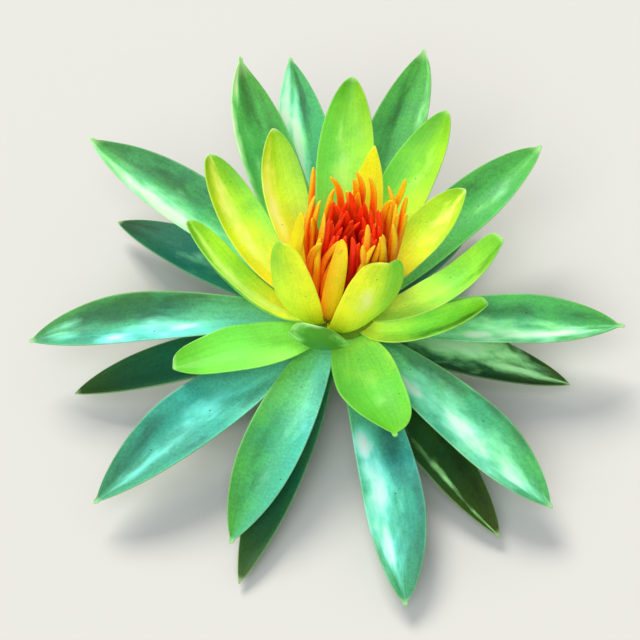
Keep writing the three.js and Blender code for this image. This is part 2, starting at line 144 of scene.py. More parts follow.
OUTER_PETALS = whorl("outer_petal", OUTER, [
    dict(heading=184.5, reach=74.5, tip=14, width=15.5, z=14, leave=5, arrive=-8,
         root=182, sway=4, widest=0.62, point=0.8, lop=1.0, ripe=0.3, ripe_side=-0.5, lit_side=0.3,
         marks=[(0.46, 0.5, 0.26, 0.55, 0.95), (0.44, 0.45, 0.12, 0.25, 1.15),
                (0.68, 0.75, 0.07, 0.3, 1.35), (0.87, 0.0, 0.07, 0.6, 0.75),
                (0.64, -0.5, 0.2, 0.5, -1.2), (0.45, -0.75, 0.3, 0.3, -0.8)]),
    dict(heading=142, reach=79, tip=27, width=16.5, z=15.2, leave=16, arrive=4,
         curl=(0.9, 0.2), hook=0.8, pale=0.06, ripe=0.7, ripe_side=0.1, lit_side=0.4,
         marks=[(0.5, 0.45, 0.4, 0.45, 0.95), (0.6, 0.75, 0.4, 0.35, 1.5),
                (0.65, -0.4, 0.35, 0.5, -0.75)]),
    dict(heading=109, reach=73, tip=36, width=14, z=17, leave=18, arrive=18,
         curl=(1.3, 0), points=(0.7, 0.8), nib=0.02, hook=2.0, pale=0.1, lop=0.7, bow=3.2,
         root_share=0.66, ripe=1.1, lit_side=0.2,
         marks=[(0.4, 0.35, 0.3, 0.25, 0.6), (0.9, 0.85, 0.1, 0.25, 1.4),
                (0.7, 0.95, 0.3, 0.14, 1.1), (0.85, 0.1, 0.2, 0.45, -0.9),
                (0.5, -0.5, 0.4, 0.3, -0.7)]),
    dict(heading=99, reach=73, tip=34, width=14, z=13, leave=16, arrive=20,
         ripe=0.6, lit=0.2, lit_side=-0.15,
         marks=[(0.75, 0.75, 0.25, 0.5, 1.3), (0.6, 0.3, 0.28, 0.35, 1.3),
                (0.8, -0.25, 0.2, 0.2, -0.9)]),
    dict(heading=73, reach=76, tip=36, width=15, z=15, leave=16, arrive=20,
         points=(0.75, 0.7), nib=0.012, hook=0.8, lop=-1.2, pale=0.06, ripe=0.95,
         marks=[(0.65, -0.85, 0.4, 0.2, 0.5), (0.75, 0.25, 0.3, 0.4, -0.6)]),
    dict(heading=40.5, reach=69.5, tip=28, width=15, z=13, leave=16, arrive=10,
         curl=(0, 0.5), points=(0.8, 0.7), lop=0.8, pale=0.06, ripe=0.95, lit=0.1, lit_side=-0.2,
         marks=[(0.65, -0.45, 0.3, 0.35, 0.35), (0.5, 0.5, 0.4, 0.4, -0.6)]),
    dict(heading=358.5, reach=70.5, tip=14, width=15.5, z=13.5, leave=3, arrive=-6,
         root=354, widest=0.6, point=0.8, nib=0.022, pale=0.05, ripe=0.75, ripe_side=0.1,
         marks=[(0.5, -0.5, 0.45, 0.6, 0.95), (0.42, -0.55, 0.08, 0.3, 1.4),
                (0.7, -0.55, 0.2, 0.22, 1.4), (0.6, 0.45, 0.4, 0.35, -0.7)]),
    dict(heading=315, reach=71.5, tip=8, width=15.5, z=14.8, leave=2, arrive=-14,
         root=311, widest=0.62, point=0.8, lop=-1.2, ripe=0.5, ripe_side=0.1, lit=0.1,
         marks=[(0.55, -0.2, 0.38, 0.65, 1.2), (0.54, -0.15, 0.16, 0.32, 1.4),
                (0.3, -0.4, 0.12, 0.35, 1.35), (0.82, -0.4, 0.1, 0.25, 1.3),
                (0.28, 0.75, 0.22, 0.4, -1.2), (0.62, 0.9, 0.3, 0.2, -0.8)]),
    dict(heading=282, reach=77, tip=4, width=14, z=13.2, leave=0, arrive=-14,
         root=287, sway=-5, widest=0.62, point=0.75, lop=-0.6, ripe=0.1, ripe_side=-0.2,
         marks=[(0.66, -0.45, 0.26, 0.6, 1.15), (0.41, -0.65, 0.07, 0.35, 1.55),
                (0.62, -0.4, 0.1, 0.4, 1.35), (0.78, -0.45, 0.12, 0.3, 1.45),
                (0.4, 0.35, 0.16, 0.45, -0.95), (0.72, 0.8, 0.25, 0.25, -0.7)]),
    dict(heading=248, reach=64.5, tip=6, width=14.5, z=15, leave=1, arrive=-12,
         ripe=0.55, ripe_side=-0.55, lit=0.1, lit_side=0.3,
         marks=[(0.3, 0.45, 0.3, 0.35, 0.55), (0.7, -0.3, 0.3, 0.3, -0.5)]),
    dict(heading=221, reach=75, tip=8, width=16.8, z=12.6, leave=1, arrive=-12, lop=1.2,
         ripe=-0.1, lit_side=0.2,
         marks=[(0.5, -0.05, 0.35, 0.4, 0.62), (0.72, 0.2, 0.3, 0.22, 0.72),
                (0.8, -0.5, 0.25, 0.35, -0.8), (0.45, 0.75, 0.3, 0.25, -0.6)]),
])
INNER_PETALS = whorl("inner_petal", INNER, [
    dict(heading=201, reach=41.5, tip=17, width=13.5, z=16.5, leave=9, arrive=-8,
         root=225, points=(0.9, 0.32), lop=2.6, ripe=-0.1, lit=0.15),
    dict(heading=157, reach=39, tip=33, width=9.6, z=18.5, leave=18, arrive=28,
         root=202, curl=(3.2, 0), curl_from=0.25, points=(0.35, 0.6), lop=-0.7, ripe=0.5,
         ripe_side=-0.2, marks=[(0.55, 0.1, 0.4, 0.25, 1.15), (0.5, 0.85, 0.5, 0.2, -0.5)]),
    dict(heading=138, reach=41.5, tip=43, width=12.4, z=21.1, leave=28, arrive=42,
         root=172, curl=(0.8, 0.3), points=(0.4, 0.65), lop=-0.6, bow=-1.0, ripe=0.65,
         ripe_side=0.45, marks=[(0.62, 0.25, 0.42, 0.35, 1.1)]),
    dict(heading=114, reach=37, tip=46, width=11, z=22.5, leave=35, arrive=50,
         root=134, ripe=0.85, ripe_side=0.4, marks=[(0.5, 0.7, 0.38, 0.35, 1.15)]),
    dict(heading=85, reach=48, tip=50, width=14, z=19, leave=35, arrive=42,
         root=90, ripe=0.2, ripe_side=-0.35, marks=[(0.5, 0.05, 0.3, 0.45, 0.6)]),
    dict(heading=57, reach=48.5, tip=46, width=13, z=17.2, leave=32, arrive=40,
         lop=-1.2, ripe=0.25, ripe_side=-0.3, marks=[(0.5, -0.2, 0.35, 0.5, 0.45)]),
    dict(heading=29, reach=35.5, tip=42, width=12, z=21, leave=35, arrive=45,
         root=25, curl=(0.3, 0), ripe=0.75, marks=[(0.75, -0.2, 0.3, 0.5, 0.9)]),
    dict(heading=11, reach=41, tip=34.5, width=9.5, z=20.6, leave=25, arrive=36,
         root=329, points=(0.2, 0.75), fold=0.2, lop=0.2, ripe=0.22, lit=0.08, lit_side=0.2,
         marks=[(0.8, -0.5, 0.22, 0.3, -0.7)]),
    dict(heading=354, reach=36.5, tip=25, width=8.2, z=18.6, leave=10, arrive=15,
         root=307, root_share=0.4, curl=(0.4, 0), points=(0.3, 0.65), fold=0.2, lop=-0.3, ripe=0.25,
         lit=0.3, lit_side=0.3, marks=[(0.75, -0.6, 0.28, 0.35, -1.0)]),
    dict(heading=287, reach=40, tip=17, width=15.5, z=16.5, leave=9, arrive=-12,
         root=285, curl=(0.3, 0.3), points=(0.4, 0.75), nib=0.03, lop=2.2, ripe=0.0, lit=0.2,
         marks=[(0.45, 0.0, 0.3, 0.4, 0.5)]),
    dict(heading=259, reach=21.2, tip=36.5, width=14.5, z=18.6, leave=-10, arrive=108,
         root=246, root_share=0.4, points=(0.7, 0.2), wave=0.05, back=0.9, ripe=-0.4, lit=-0.45,
         lit_side=-0.25, marks=[(0.5, -0.8, 0.8, 0.4, 0.75), (0.5, 0.95, 0.8, 0.25, 0.6)]),
])
CUP_PETALS = whorl("cup_petal", CUP, [
    dict(heading=213, reach=13.5, tip=49.5, width=12, z=21.4, leave=12, arrive=92,
         root=229, facing=243, root_share=0.5, lop=-0.8, ripe=0.5, ripe_side=0.4, lit=0.08),
    dict(heading=326, reach=14.6, tip=44, width=14.5, z=21.5, leave=12, arrive=80,
         root=277, facing=291, root_share=0.65, widest=0.6, point=0.4, ripe=0.32, ripe_side=-0.65,
         lit=0.12, marks=[(0.6, -0.3, 0.14, 0.3, 0.8)]),
    dict(heading=70, reach=27.5, tip=48, width=8, z=23.5, leave=30, arrive=70,
         root=72, point=0.85, ripe=1.0, lit=0.15),
])
PETALOIDS = whorl("petaloid", PETALOID, [
    dict(heading=144, reach=10, tip=46, width=4.5, z=24.2, leave=30, arrive=90,
         root=175, facing=215, ripe=-0.3),
    dict(heading=284, reach=5.5, tip=49, width=4.5, z=24, leave=30, arrive=92,
         root=251, facing=262, ripe=0.5, ripe_side=-0.6),
])

# ---- Settings a user would change ----------------------------------------------------------------


def linear(hex_colour):
    """The linear colour, with alpha, of an sRGB hex value."""
    channels = [int(hex_colour[i:i + 2], 16) / 255 for i in (1, 3, 5)]
    red, green, blue = (
        c / 12.92 if c <= 0.04045 else ((c + 0.055) / 1.055) ** 2.4 for c in channels
    )
    return red, green, blue, 1.0


def colour_setting(name, description, default):
    """A colour property of the sidebar, with an sRGB hex default."""
    return FloatVectorProperty(
        name=name, description=description, default=linear(default), size=4, min=0, max=1,
        subtype="COLOR",
    )


class LilyBladeSettings(bpy.types.PropertyGroup):
    """How finely the blades are cut and how thick they are."""

    rows: IntProperty(
        name="Rows", description="Faces along a blade", default=64, min=12, max=120,
    )
    columns: IntProperty(
        name="Columns", description="Faces across a blade", default=24, min=8, max=48,
    )
    root_thickness: FloatProperty(
        name="Root Thickness", description="Thickness in the middle of a blade's root",
        default=1.3 * MM, min=0.5 * MM, max=2 * MM, unit="LENGTH",
    )
    blade_thickness: FloatProperty(
        name="Blade Thickness", description="Thickness in the middle of a blade near its tip",
        default=0.6 * MM, min=0.3 * MM, max=1.5 * MM, unit="LENGTH",
    )
    edge_thickness: FloatProperty(
        name="Edge Thickness", description="Thickness of a blade's margin",
        default=0.3 * MM, min=0.1 * MM, max=0.8 * MM, unit="LENGTH",
    )
    pleat: FloatProperty(
        name="Pleat", description="Height of the shallow ridges that run along a blade",
        default=0.035 * MM, min=0, max=0.3 * MM, unit="LENGTH",
    )
    undulation: FloatProperty(
        name="Undulation", description="Height of a blade's slow swells",
        default=0.3 * MM, min=0, max=1 * MM, unit="LENGTH",
    )


class LilyColourSettings(bpy.types.PropertyGroup):
    """The main colours of the blades and of the receptacle."""

    outer_root: colour_setting("Outer Root", "Blue-green at an outer petal's root", "#78D8AE")
    outer_middle: colour_setting("Outer Middle", "Blue-green in an outer petal's middle", "#2E9C8C")
    outer_tip: colour_setting("Outer Tip", "Blue-green at an outer petal's tip", "#328A66")
    outer_green: colour_setting("Outer Green", "Leafier green of the other outer petals", "#3E9638")
    sepal_upper: colour_setting("Sepal Upper", "Deep blue-green of the sepals", "#107A68")
    sepal_olive: colour_setting("Sepal Olive", "Olive green of the lowest blades", "#1F4A14")
    inner_green: colour_setting("Inner Green", "Fresh green of the inner petals", "#72DC48")
    inner_lime: colour_setting("Inner Lime", "Yellow-green of the ripest inner petals", "#D2F822")
    inner_yellow: colour_setting("Inner Yellow", "Yellow at the inner petals' roots", "#F6E21C")
    back: colour_setting("Back", "Duller green of a blade's lower face", "#58A84C")
    margin: colour_setting("Margin", "Pale thin margin of a blade", "#C9F7B0")
    # Painted sheen: highlights laid on the bluest blades as patches of thin pale wax.
    painted_sheen: colour_setting("Wax", "Thin wax that lies in patches on the bluest blades", "#74ECDC")
    receptacle: colour_setting("Receptacle", "Green of the receptacle and stalk", "#82A634")
    cut_flesh: colour_setting("Cut Flesh", "Pale flesh of the stalk's cut", "#D9DDA4")


class LilyStamenSettings(bpy.types.PropertyGroup):
    """The heads of stamens and the stigma."""

    outer_count: IntProperty(
        name="Outer Stamens", description="Stamens in each row of the outer head",
        default=21, min=8, max=40,
    )
    inner_count: IntProperty(
        name="Inner Stamens", description="Stamens in each row of the inner head",
        default=16, min=6, max=30,
    )
    stigma_rays: IntProperty(
        name="Stigma Rays", description="Rays of the stigma", default=16, min=8, max=24,
    )
    filament_red: colour_setting("Filament Red", "Deep red of the inner stamens", "#EA1404")
    filament_orange: colour_setting("Filament Orange", "Orange of the outer stamens", "#FF7406")
    anther_yellow: colour_setting("Anther Yellow", "Yellow of the stamens' tips", "#FFC810")
    stigma: colour_setting("Stigma", "Orange-yellow of the stigma", "#D8741A")


class LilyStageSettings(bpy.types.PropertyGroup):
    """The floor, the lights and the camera."""

    floor: colour_setting("Floor", "Plain pale floor", "#C3C1BC")
    key_strength: FloatProperty(
        name="Key Strength", description="Light from behind and above the flower, in W/m2",
        default=2.9, min=0, max=20,
    )
    fill_strength: FloatProperty(
        name="Fill Strength", description="Light from the camera's side, in W/m2",
        default=2.0, min=0, max=20,
    )
    camera_rise: FloatProperty(
        name="Camera Rise", description="Angle at which the camera looks down",
        default=math.radians(50), min=0, max=math.radians(90), subtype="ANGLE",
    )
    camera_distance: FloatProperty(
        name="Camera Distance", description="Camera to the middle of the flower",
        default=0.5, min=0.2, max=2, unit="LENGTH",
    )
    focal_length: FloatProperty(
        name="Focal Length", description="Focal length on a 36 mm sensor", default=115.3,
        min=20, max=300, subtype="DISTANCE_CAMERA",
    )


# ---- Helpers -------------------------------------------------------------------------------------

# Settings of a Mix node for colours: its factor is input 0, its colours are inputs 6 and 7.
MIXED = dict(output=2, data_type="RGBA", clamp_factor=True)
TINTED = dict(MIXED, blend_type="MULTIPLY")


def add(tree, kind, links=None, output=0, stops=(), **settings):
    """Adds a node with its settings, ramp stops and inputs, linked or set; returns one output."""
    node = tree.nodes.new(kind)
    for name, value in settings.items():
        setattr(node, name, value)
    for key, value in (links or {}).items():
        socket = node.inputs[key]
        if isinstance(value, bpy.types.NodeSocket):
            tree.links.new(value, socket)
        else:
            socket.default_value = value
    if stops:
        elements = node.color_ramp.elements
        while len(elements) < len(stops):
            elements.new(0.5)
        for element, (position, colour) in zip(elements, stops):
            element.position, element.color = position, colour
    return node.outputs[output] if len(node.outputs) else node


def new_material(name):
    """A material with an empty node tree."""
    material = bpy.data.materials.new(name)
    material.use_nodes = True
    material.node_tree.nodes.clear()
    return material, material.node_tree


def unit(heading, rise=0.0):
    """Unit vector of a heading and a rise."""
    flat = math.cos(math.radians(rise))
    return np.array([
        flat * math.cos(math.radians(heading)),
        flat * math.sin(math.radians(heading)),
        math.sin(math.radians(rise)),
    ])


def lean(z):
    """How far the crown has shifted sideways at a height."""
    above = max(0.0, z - SHOULDER_Z)
    return np.array([CROWN_LEAN[0] * above, CROWN_LEAN[1] * above, 0.0])


def wall_radius(z):
    """Radius of the receptacle between its shoulder and its crown."""
    share = min(max((z - SHOULDER_Z) / (CROWN_Z - SHOULDER_Z), 0.0), 1.0)
    return SHOULDER_RADIUS + (CROWN_RADIUS - SHOULDER_RADIUS) * share


def smooth_step(values, low, high):
    """Rises smoothly from 0 at low to 1 at high."""
    share = np.clip((values - low) / (high - low), 0, 1)
    return share * share * (3 - 2 * share)


def place(name, mesh, nodes):
    """Puts a finished mesh into the scene in the place of its CAD nodes."""
    piece = bpy.data.objects.new(name, mesh)
    bpy.context.scene.collection.objects.link(piece)
    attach(piece, BODY)
    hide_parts(*nodes)


def grid_mesh(name, points, faces, maps, attributes):
    """A smooth mesh from points in mm, with a UV pair and named values for each point."""
    mesh = bpy.data.meshes.new(name)
    mesh.from_pydata((points * MM).tolist(), [], faces)
    mesh.polygons.foreach_set("use_smooth", [True] * len(mesh.polygons))
    corners = np.empty(len(mesh.loops), int)
    mesh.loops.foreach_get("vertex_index", corners)
    layer = mesh.uv_layers.new(name="UVMap")
    layer.data.foreach_set("uv", maps[corners].astype(np.float32).ravel())
    for key, values in attributes.items():
        attribute = mesh.attributes.new(key, "FLOAT", "POINT")
        attribute.data.foreach_set("value", np.asarray(values, np.float32))
    mesh.validate()
    mesh.update()
    return mesh


# ---- Blade shape ---------------------------------------------------------------------------------

ROOT_SUNK = 1.6  # mm that the middle line starts inside the receptacle's wall
NIB_BREADTH = 0.08  # half width of a nib as a share of the blade's
LEAST_BREADTH = 0.02  # half width of a tip without one
CREASE_SOFTNESS = 0.2  # share of the half width over which the middle crease is rounded
HOOD_START = 0.78  # share of the length from which the margins close in over the tip
LOP_START = 0.55  # share of the length from which the tip is shifted sideways
HOOK_START = 0.88  # share of the length from which the tip is bent up
CURL_START = 0.6  # share of the half width from which a margin turns up
PALE_TIP = 0.035  # share of the length that is pale at the tip
PLEATS = 7  # shallow ridges across a blade
UNEVENNESS = 0.02  # how much a margin strays from its even outline, as a share of the half width


def middle_line(blade):
    """The four control points of a blade's middle line, from inside the wall to its tip."""
    root_heading = blade.get("root", blade["heading"])
    start = unit(root_heading) * (wall_radius(blade["z"]) - ROOT_SUNK) + lean(blade["z"])
    start[2] = blade["z"]
    end = unit(blade["heading"]) * blade["reach"]
    end[2] = blade["tip"]
    third = np.linalg.norm(end - start) / 3
    after = start + unit(root_heading, blade["leave"]) * third
    chord = end - after
    heading = math.degrees(math.atan2(chord[1], chord[0])) + blade.get("sway", 0)
    before = end - unit(heading, blade["arrive"]) * third
    return start, after, before, end


def outline_share(blade, along, across):
    """Half width at shares of the length, as a share of the full half width, for each side."""
    nib = blade.get("nib", 0)
    rising = np.sin(np.pi / 2 * np.minimum(along / blade["widest"], 1))
    base = blade["root_share"] + (1 - blade["root_share"]) * rising
    past = np.clip((along - blade["widest"]) / (1 - nib - blade["widest"]), 0, 1)
    left, right = blade.get("points", (blade["point"], blade["point"]))
    share = np.maximum(LEAST_BREADTH, base * (1 - past ** 2) ** np.where(across > 0, left, right))
    if nib:
        beyond = np.clip((along - 1 + nib) / nib, 0, 1)
        share = np.maximum(share, NIB_BREADTH * np.sqrt(1 - 0.95 * beyond ** 4))
    return share


def sway_of(draw, along, cycles, amount):
    """A slow irregular wave along a blade."""
    total = np.zeros_like(along)
    for k in range(1, cycles + 1):
        height = draw.uniform(-1, 1) / k
        total += height * np.sin(2 * np.pi * (k * along / 1.6 + draw.uniform(0, 1)))
    return amount * total


def blade_surface(blade, settings):
    """The middle surface of a blade as a grid of points, with its shares along and across."""
    draw = np.random.default_rng(sum(map(ord, blade["name"])) * 17 + blade["seed"])
    steps = np.linspace(0, 1, settings.rows + 1)
    along = (0.5 * steps + 0.25 * (1 - np.cos(np.pi * steps)))[:, None]
    turns = np.linspace(1, -1, settings.columns + 1)
    across = (0.5 * turns + 0.5 * np.sin(np.pi / 2 * turns))[None, :]

    p0, p1, p2, p3 = middle_line(blade)
    rest = 1 - along
    centre = rest ** 3 * p0 + 3 * rest ** 2 * along * p1
    centre = centre + 3 * rest * along ** 2 * p2 + along ** 3 * p3
    forward = 3 * (rest ** 2 * (p1 - p0) + 2 * rest * along * (p2 - p1) + along ** 2 * (p3 - p2))
    forward /= np.linalg.norm(forward, axis=1, keepdims=True)
    side = unit(blade.get("facing", blade["heading"]) + 90)
    side = side - forward * (forward @ side)[:, None]
    side /= np.linalg.norm(side, axis=1, keepdims=True)
    up = np.cross(forward, side)

    share = outline_share(blade, along, across)
    half = blade["width"] / 2 * share
    left_margin, right_margin = (sway_of(draw, along, 3, UNEVENNESS) for _ in range(2))
    reach = half * across * (1 + np.where(across > 0, left_margin, right_margin))

    hood = 1 + 0.5 * smooth_step(along, HOOD_START, 1.0)
    crease = np.sqrt(across ** 2 + CREASE_SOFTNESS ** 2) - CREASE_SOFTNESS
    height = half * (blade["cup"] * across ** 2 * hood + blade["fold"] * crease)
    body = np.sin(np.pi * along) ** 0.7
    pleats = np.cos(np.pi * PLEATS * across + draw.uniform(-0.4, 0.4)) * (1 - across ** 4)
    height += settings.pleat / MM * pleats * share * smooth_step(along, 0, 0.2)
    for edge in (1, -1):
        outer = np.clip(across * edge, 0, 1)
        ripple = sway_of(draw, along, 4, blade["wave"]) * body
        height += ripple * outer ** 3
        turned_up = blade.get("curl", (0, 0))[0 if edge > 0 else 1]
        flat = blade.get("curl_from", CURL_START)
        height += turned_up * np.clip((outer - flat) / (1 - flat), 0, 1) ** 1.7 * body
    swell = sway_of(draw, along, 3, 1.0) * np.cos(np.pi / 2 * across)
    swell += sway_of(draw, along, 2, 0.6) * np.sin(np.pi * across)
    height += settings.undulation / MM * swell * body
    height += blade.get("hook", 0) * smooth_step(along, HOOK_START, 1.0) ** 2
    reach = reach + blade.get("lop", 0) * smooth_step(along, LOP_START, 1.0)
    reach = reach + blade.get("bow", 0) * np.sin(np.pi * along)

    points = centre[:, None, :] + side[:, None, :] * reach[..., None]
    points = points + up[:, None, :] * height[..., None]
    return points, along * np.ones_like(across), across * np.ones_like(along)


def marks_of(blade, along, leftness, sign):
    """Strength of a blade's painted sheen (sign 1) and painted shade (sign -1) patches at each
    point.
    """
    total = np.zeros_like(along)
    for place_along, place_across, length, breadth, strength in blade.get("marks", ()):
        far = ((along - place_along) / length) ** 2 + ((leftness - place_across) / breadth) ** 2
        total = np.maximum(total, max(0, sign * strength) * np.exp(-0.7 * far))
    return total


def blade_mesh(blade, settings):
    """A blade as one closed skin: its upper face, its lower face and the thin margin between."""
    points, along, across = blade_surface(blade, settings)
    rows, columns = settings.rows, settings.columns
    normal = np.cross(np.gradient(points, axis=0), -np.gradient(points, axis=1))
    normal /= np.linalg.norm(normal, axis=2, keepdims=True)
    root, tip = settings.root_thickness / MM, settings.blade_thickness / MM
    middle = root + (tip - root) * smooth_step(along, 0, 0.5)
    edge = settings.edge_thickness / MM
    thickness = edge + (middle * (1 - 0.35 * smooth_step(along, 0.7, 1)) - edge) * (1 - across ** 2)
    offset = normal * (thickness / 2)[..., None]
    skin = np.concatenate([(points + offset).reshape(-1, 3), (points - offset).reshape(-1, 3)])

    width = columns + 1
    below = width * (rows + 1)
    faces = []
    for i in range(rows):
        for j in range(columns):
            a, b = i * width + j, i * width + j + 1
            c, d = a + width, b + width
            faces.append((a, b, d, c))
            faces.append((below + a, below + c, below + d, below + b))
    for i in range(rows):
        left, right = i * width, i * width + columns
        faces.append((left, left + width, below + left + width, below + left))
        faces.append((right, below + right, below + right + width, right + width))
    last = rows * width
    for j in range(columns):
        faces.append((j, below + j, below + j + 1, j + 1))
        faces.append((last + j, last + j + 1, below + last + j + 1, below + last + j))

    along, leftness = along.ravel(), across.ravel()
    flat_map = np.stack([(leftness + 1) / 2, along], axis=1)
    count = len(leftness)
    upper = {
        # ripe_side tints one half apart from the other, partly the blade's own colour and partly a
        # painted reflection.
        "ripe": blade.get("ripe", 0) + blade.get("ripe_side", 0) * leftness,
        # Painted light and shade: lit lightens the blade's colour, and below 0 darkens it, more on
        # one half with lit_side.
        "lit": blade.get("lit", 0) + blade.get("lit_side", 0) * leftness,
        "pale": np.full(count, blade.get("pale", PALE_TIP)),
        "own": np.full(count, float(blade["seed"])),
        "painted_sheen": marks_of(blade, along, leftness, 1),
        "painted_shade": marks_of(blade, along, leftness, -1),
    }
    attributes = {key: np.tile(values, 2) for key, values in upper.items()}
    attributes["back"] = np.repeat([0.0, blade["back"]], count)
    return grid_mesh(blade["name"], skin, faces, np.tile(flat_map, (2, 1)), attributes)


def grow_blades(blades, material):
    """Makes every blade of a whorl in the place of its CAD node."""
    settings = bpy.context.scene.lily_blades
    for blade in blades:
        mesh = blade_mesh(blade, settings)
        mesh.materials.append(material)
        place(blade["name"] + "_blade", mesh, [blade["name"]])


# ---- Materials -----------------------------------------------------------------------------------

VEIN_SPACING = 0.55  # mm between the fine veins that run along a blade
CELL_SIZE = 0.65  # mm across the skin's grains, drawn coarser than real ones so that they show
MOTTLE_SIZE = 9.0  # mm across the soft patches of a blade's colour
EDGE_WIDTH = 3.5  # mm, breadth of the waves that break the edges of waxy patches
EDGE_LENGTH = 8.0  # mm, their length along the blade
SPECK_SPACING = 22.0  # mm between the few dark specks
SPECK_RADIUS = 0.28  # mm
SPECK_COLOUR = "#1E2A12"
BLADE_WIDTH = 15.0  # mm, a typical blade, for patterns that lie on the blade's own map
BLADE_LENGTH = 62.0  # mm
VEIN_WAVES = 1.6  # slow changes of a vein from root to tip
OWN_STEP = 5.3  # moves a pattern on from one blade to the next
POLLEN_SIZE = 0.4  # mm, grains in clumps, because single ones are too fine to show
FIBRE_WIDTH = 1.1  # mm across the stalk's fibres
FIBRE_LENGTH = 8.0  # mm along them


def petal_material(
    name, first, second, back_colour, painted_sheen, yellow_root=0.0, shine=0.48, gloss=0.35, margin=0.15,
    grain=0.08,
):
    """Waxy petal: translucent tissue under a thin cuticle. It shows soft light through the blade,
    a satin gloss, fine veins that run from root to tip and a pale thin margin, with painted light
    and shade, and patches of painted sheen and painted shade. first and second are the colours from
    root to tip of unripe and of ripe tissue, and the four sheen colours are those of thin painted
    sheen, highlights laid on as pale wax, on both, then of thick painted sheen on both."""
    colours = bpy.context.scene.lily_colours
    material, tree = new_material(name)
    chart = add(tree, "ShaderNodeUVMap", uv_map="UVMap")
    across = add(tree, "ShaderNodeSeparateXYZ", {0: chart})
    along = across.node.outputs[1]
    here = add(tree, "ShaderNodeTexCoord", output="Object")
    ripe, sheen_here, painted_shade, lit, pale, own, back = (
        add(tree, "ShaderNodeAttribute", output="Fac", attribute_name=key)
        for key in ("ripe", "painted_sheen", "painted_shade", "lit", "pale", "own", "back")
    )

    # Colour from root to tip, riper or less ripe in soft patches.
    mottle = add(
        tree, "ShaderNodeTexNoise",
        {"Vector": here, "Scale": 1 / (MOTTLE_SIZE * MM), "Detail": 3.0, "Roughness": 0.55},
    )
    drift = add(tree, "ShaderNodeMath", {0: mottle, 1: 0.7, 2: -0.35}, operation="MULTIPLY_ADD")
    ripeness = add(tree, "ShaderNodeMath", {0: ripe, 1: drift}, operation="ADD", use_clamp=True)
    unripe_colour, ripe_colour = (
        add(tree, "ShaderNodeValToRGB", {0: along}, stops=stops) for stops in (first, second)
    )
    colour = add(tree, "ShaderNodeMix", {0: ripeness, 6: unripe_colour, 7: ripe_colour}, **MIXED)
    if yellow_root:
        near_root = add(
            tree, "ShaderNodeMapRange",
            {"Value": along, "From Min": 0.6, "From Max": 0.1, "To Max": yellow_root},
            interpolation_type="SMOOTHSTEP",
        )
        near_root = add(tree, "ShaderNodeMath", {0: near_root, 1: ripeness}, operation="MULTIPLY")
        yellow = tuple(colours.inner_yellow)
        colour = add(tree, "ShaderNodeMix", {0: near_root, 6: colour, 7: yellow}, **MIXED)

    # Veins, grains and mottling in the tissue.
    stretched = add(
        tree, "ShaderNodeMapping",
        {"Vector": chart, "Scale": (BLADE_WIDTH / VEIN_SPACING, VEIN_WAVES, 1.0)},
    )
    veins = add(
        tree, "ShaderNodeTexNoise",
        {"Vector": stretched, "Scale": 1.0, "Detail": 2.0, "Roughness": 0.6, "Distortion": 0.15},
    )
    grains = add(
        tree, "ShaderNodeTexNoise",
        {"Vector": here, "Scale": 1 / (CELL_SIZE * MM), "Detail": 3.0, "Roughness": 0.7},
    )
    for pattern, depth in ((veins, 0.07), (mottle, 0.12), (grains, grain)):
        shade = add(
            tree, "ShaderNodeMapRange",
            {"Value": pattern, "From Min": 0.3, "From Max": 0.7, "To Min": 1 - depth,
             "To Max": 1 + depth},
        )
        colour = add(tree, "ShaderNodeMix", {0: 1.0, 6: colour, 7: shade}, **TINTED)
    colour = add(tree, "ShaderNodeMix", {0: back, 6: colour, 7: back_colour}, **MIXED)
    # Painted light and shade: lit above 0 lightens the colour, and below 0 darkens it.
    painted_light_and_shade = add(tree, "ShaderNodeMath", {0: 2.0, 1: lit}, operation="POWER")
    colour = add(tree, "ShaderNodeMix", {0: 1.0, 6: colour, 7: painted_light_and_shade}, **TINTED)

    # Patches of painted sheen, highlights laid on as pale wax, and of painted shade, with uneven
    # edges.
    spot = add(tree, "ShaderNodeCombineXYZ", {0: across, 1: along, 2: own})
    edge_scale = (BLADE_WIDTH / EDGE_WIDTH, BLADE_LENGTH / EDGE_LENGTH, OWN_STEP)
    spot = add(tree, "ShaderNodeMapping", {"Vector": spot, "Scale": edge_scale})
    waves = add(
        tree, "ShaderNodeTexNoise",
        {"Vector": spot, "Scale": 1.0, "Detail": 3.0, "Roughness": 0.55, "Distortion": 0.2},
    )
    uneven = add(tree, "ShaderNodeMath", {0: waves, 1: 1.5, 2: -0.75}, operation="MULTIPLY_ADD")
    shade_multiplier = add(tree, "ShaderNodeMath", {0: painted_shade, 1: uneven}, operation="ADD")
    # Painted shade: the colour is darkened where the dark patches lie.
    shade_multiplier = add(
        tree, "ShaderNodeMapRange",
        {"Value": shade_multiplier, "From Min": 0.2, "From Max": 1.0, "To Min": 1.0, "To Max": 0.42},
        interpolation_type="SMOOTHSTEP",
    )
    colour = add(tree, "ShaderNodeMix", {0: 1.0, 6: colour, 7: shade_multiplier}, **TINTED)
    # Painted sheen: thin, then thick, pale patches that stand in for highlights.
    sheen_amount = add(tree, "ShaderNodeMath", {0: sheen_here, 1: uneven}, operation="ADD")
    thin, thick = (
        add(
            tree, "ShaderNodeMapRange",
            {"Value": sheen_amount, "From Min": start, "From Max": full, "To Max": cover},
            interpolation_type="SMOOTHSTEP",
        )
        for start, full, cover in ((0.25, 1.1, 0.92), (0.8, 1.45, 0.75))
    )
    thin_colour, thick_colour = (
        add(tree, "ShaderNodeMix", {0: ripeness, 6: unripe, 7: ripened}, **MIXED)
        for unripe, ripened in (painted_sheen[:2], painted_sheen[2:])
    )
    sheen_colour = add(tree, "ShaderNodeMix", {0: thick, 6: thin_colour, 7: thick_colour}, **MIXED)
    colour = add(tree, "ShaderNodeMix", {0: thin, 6: colour, 7: sheen_colour}, **MIXED)

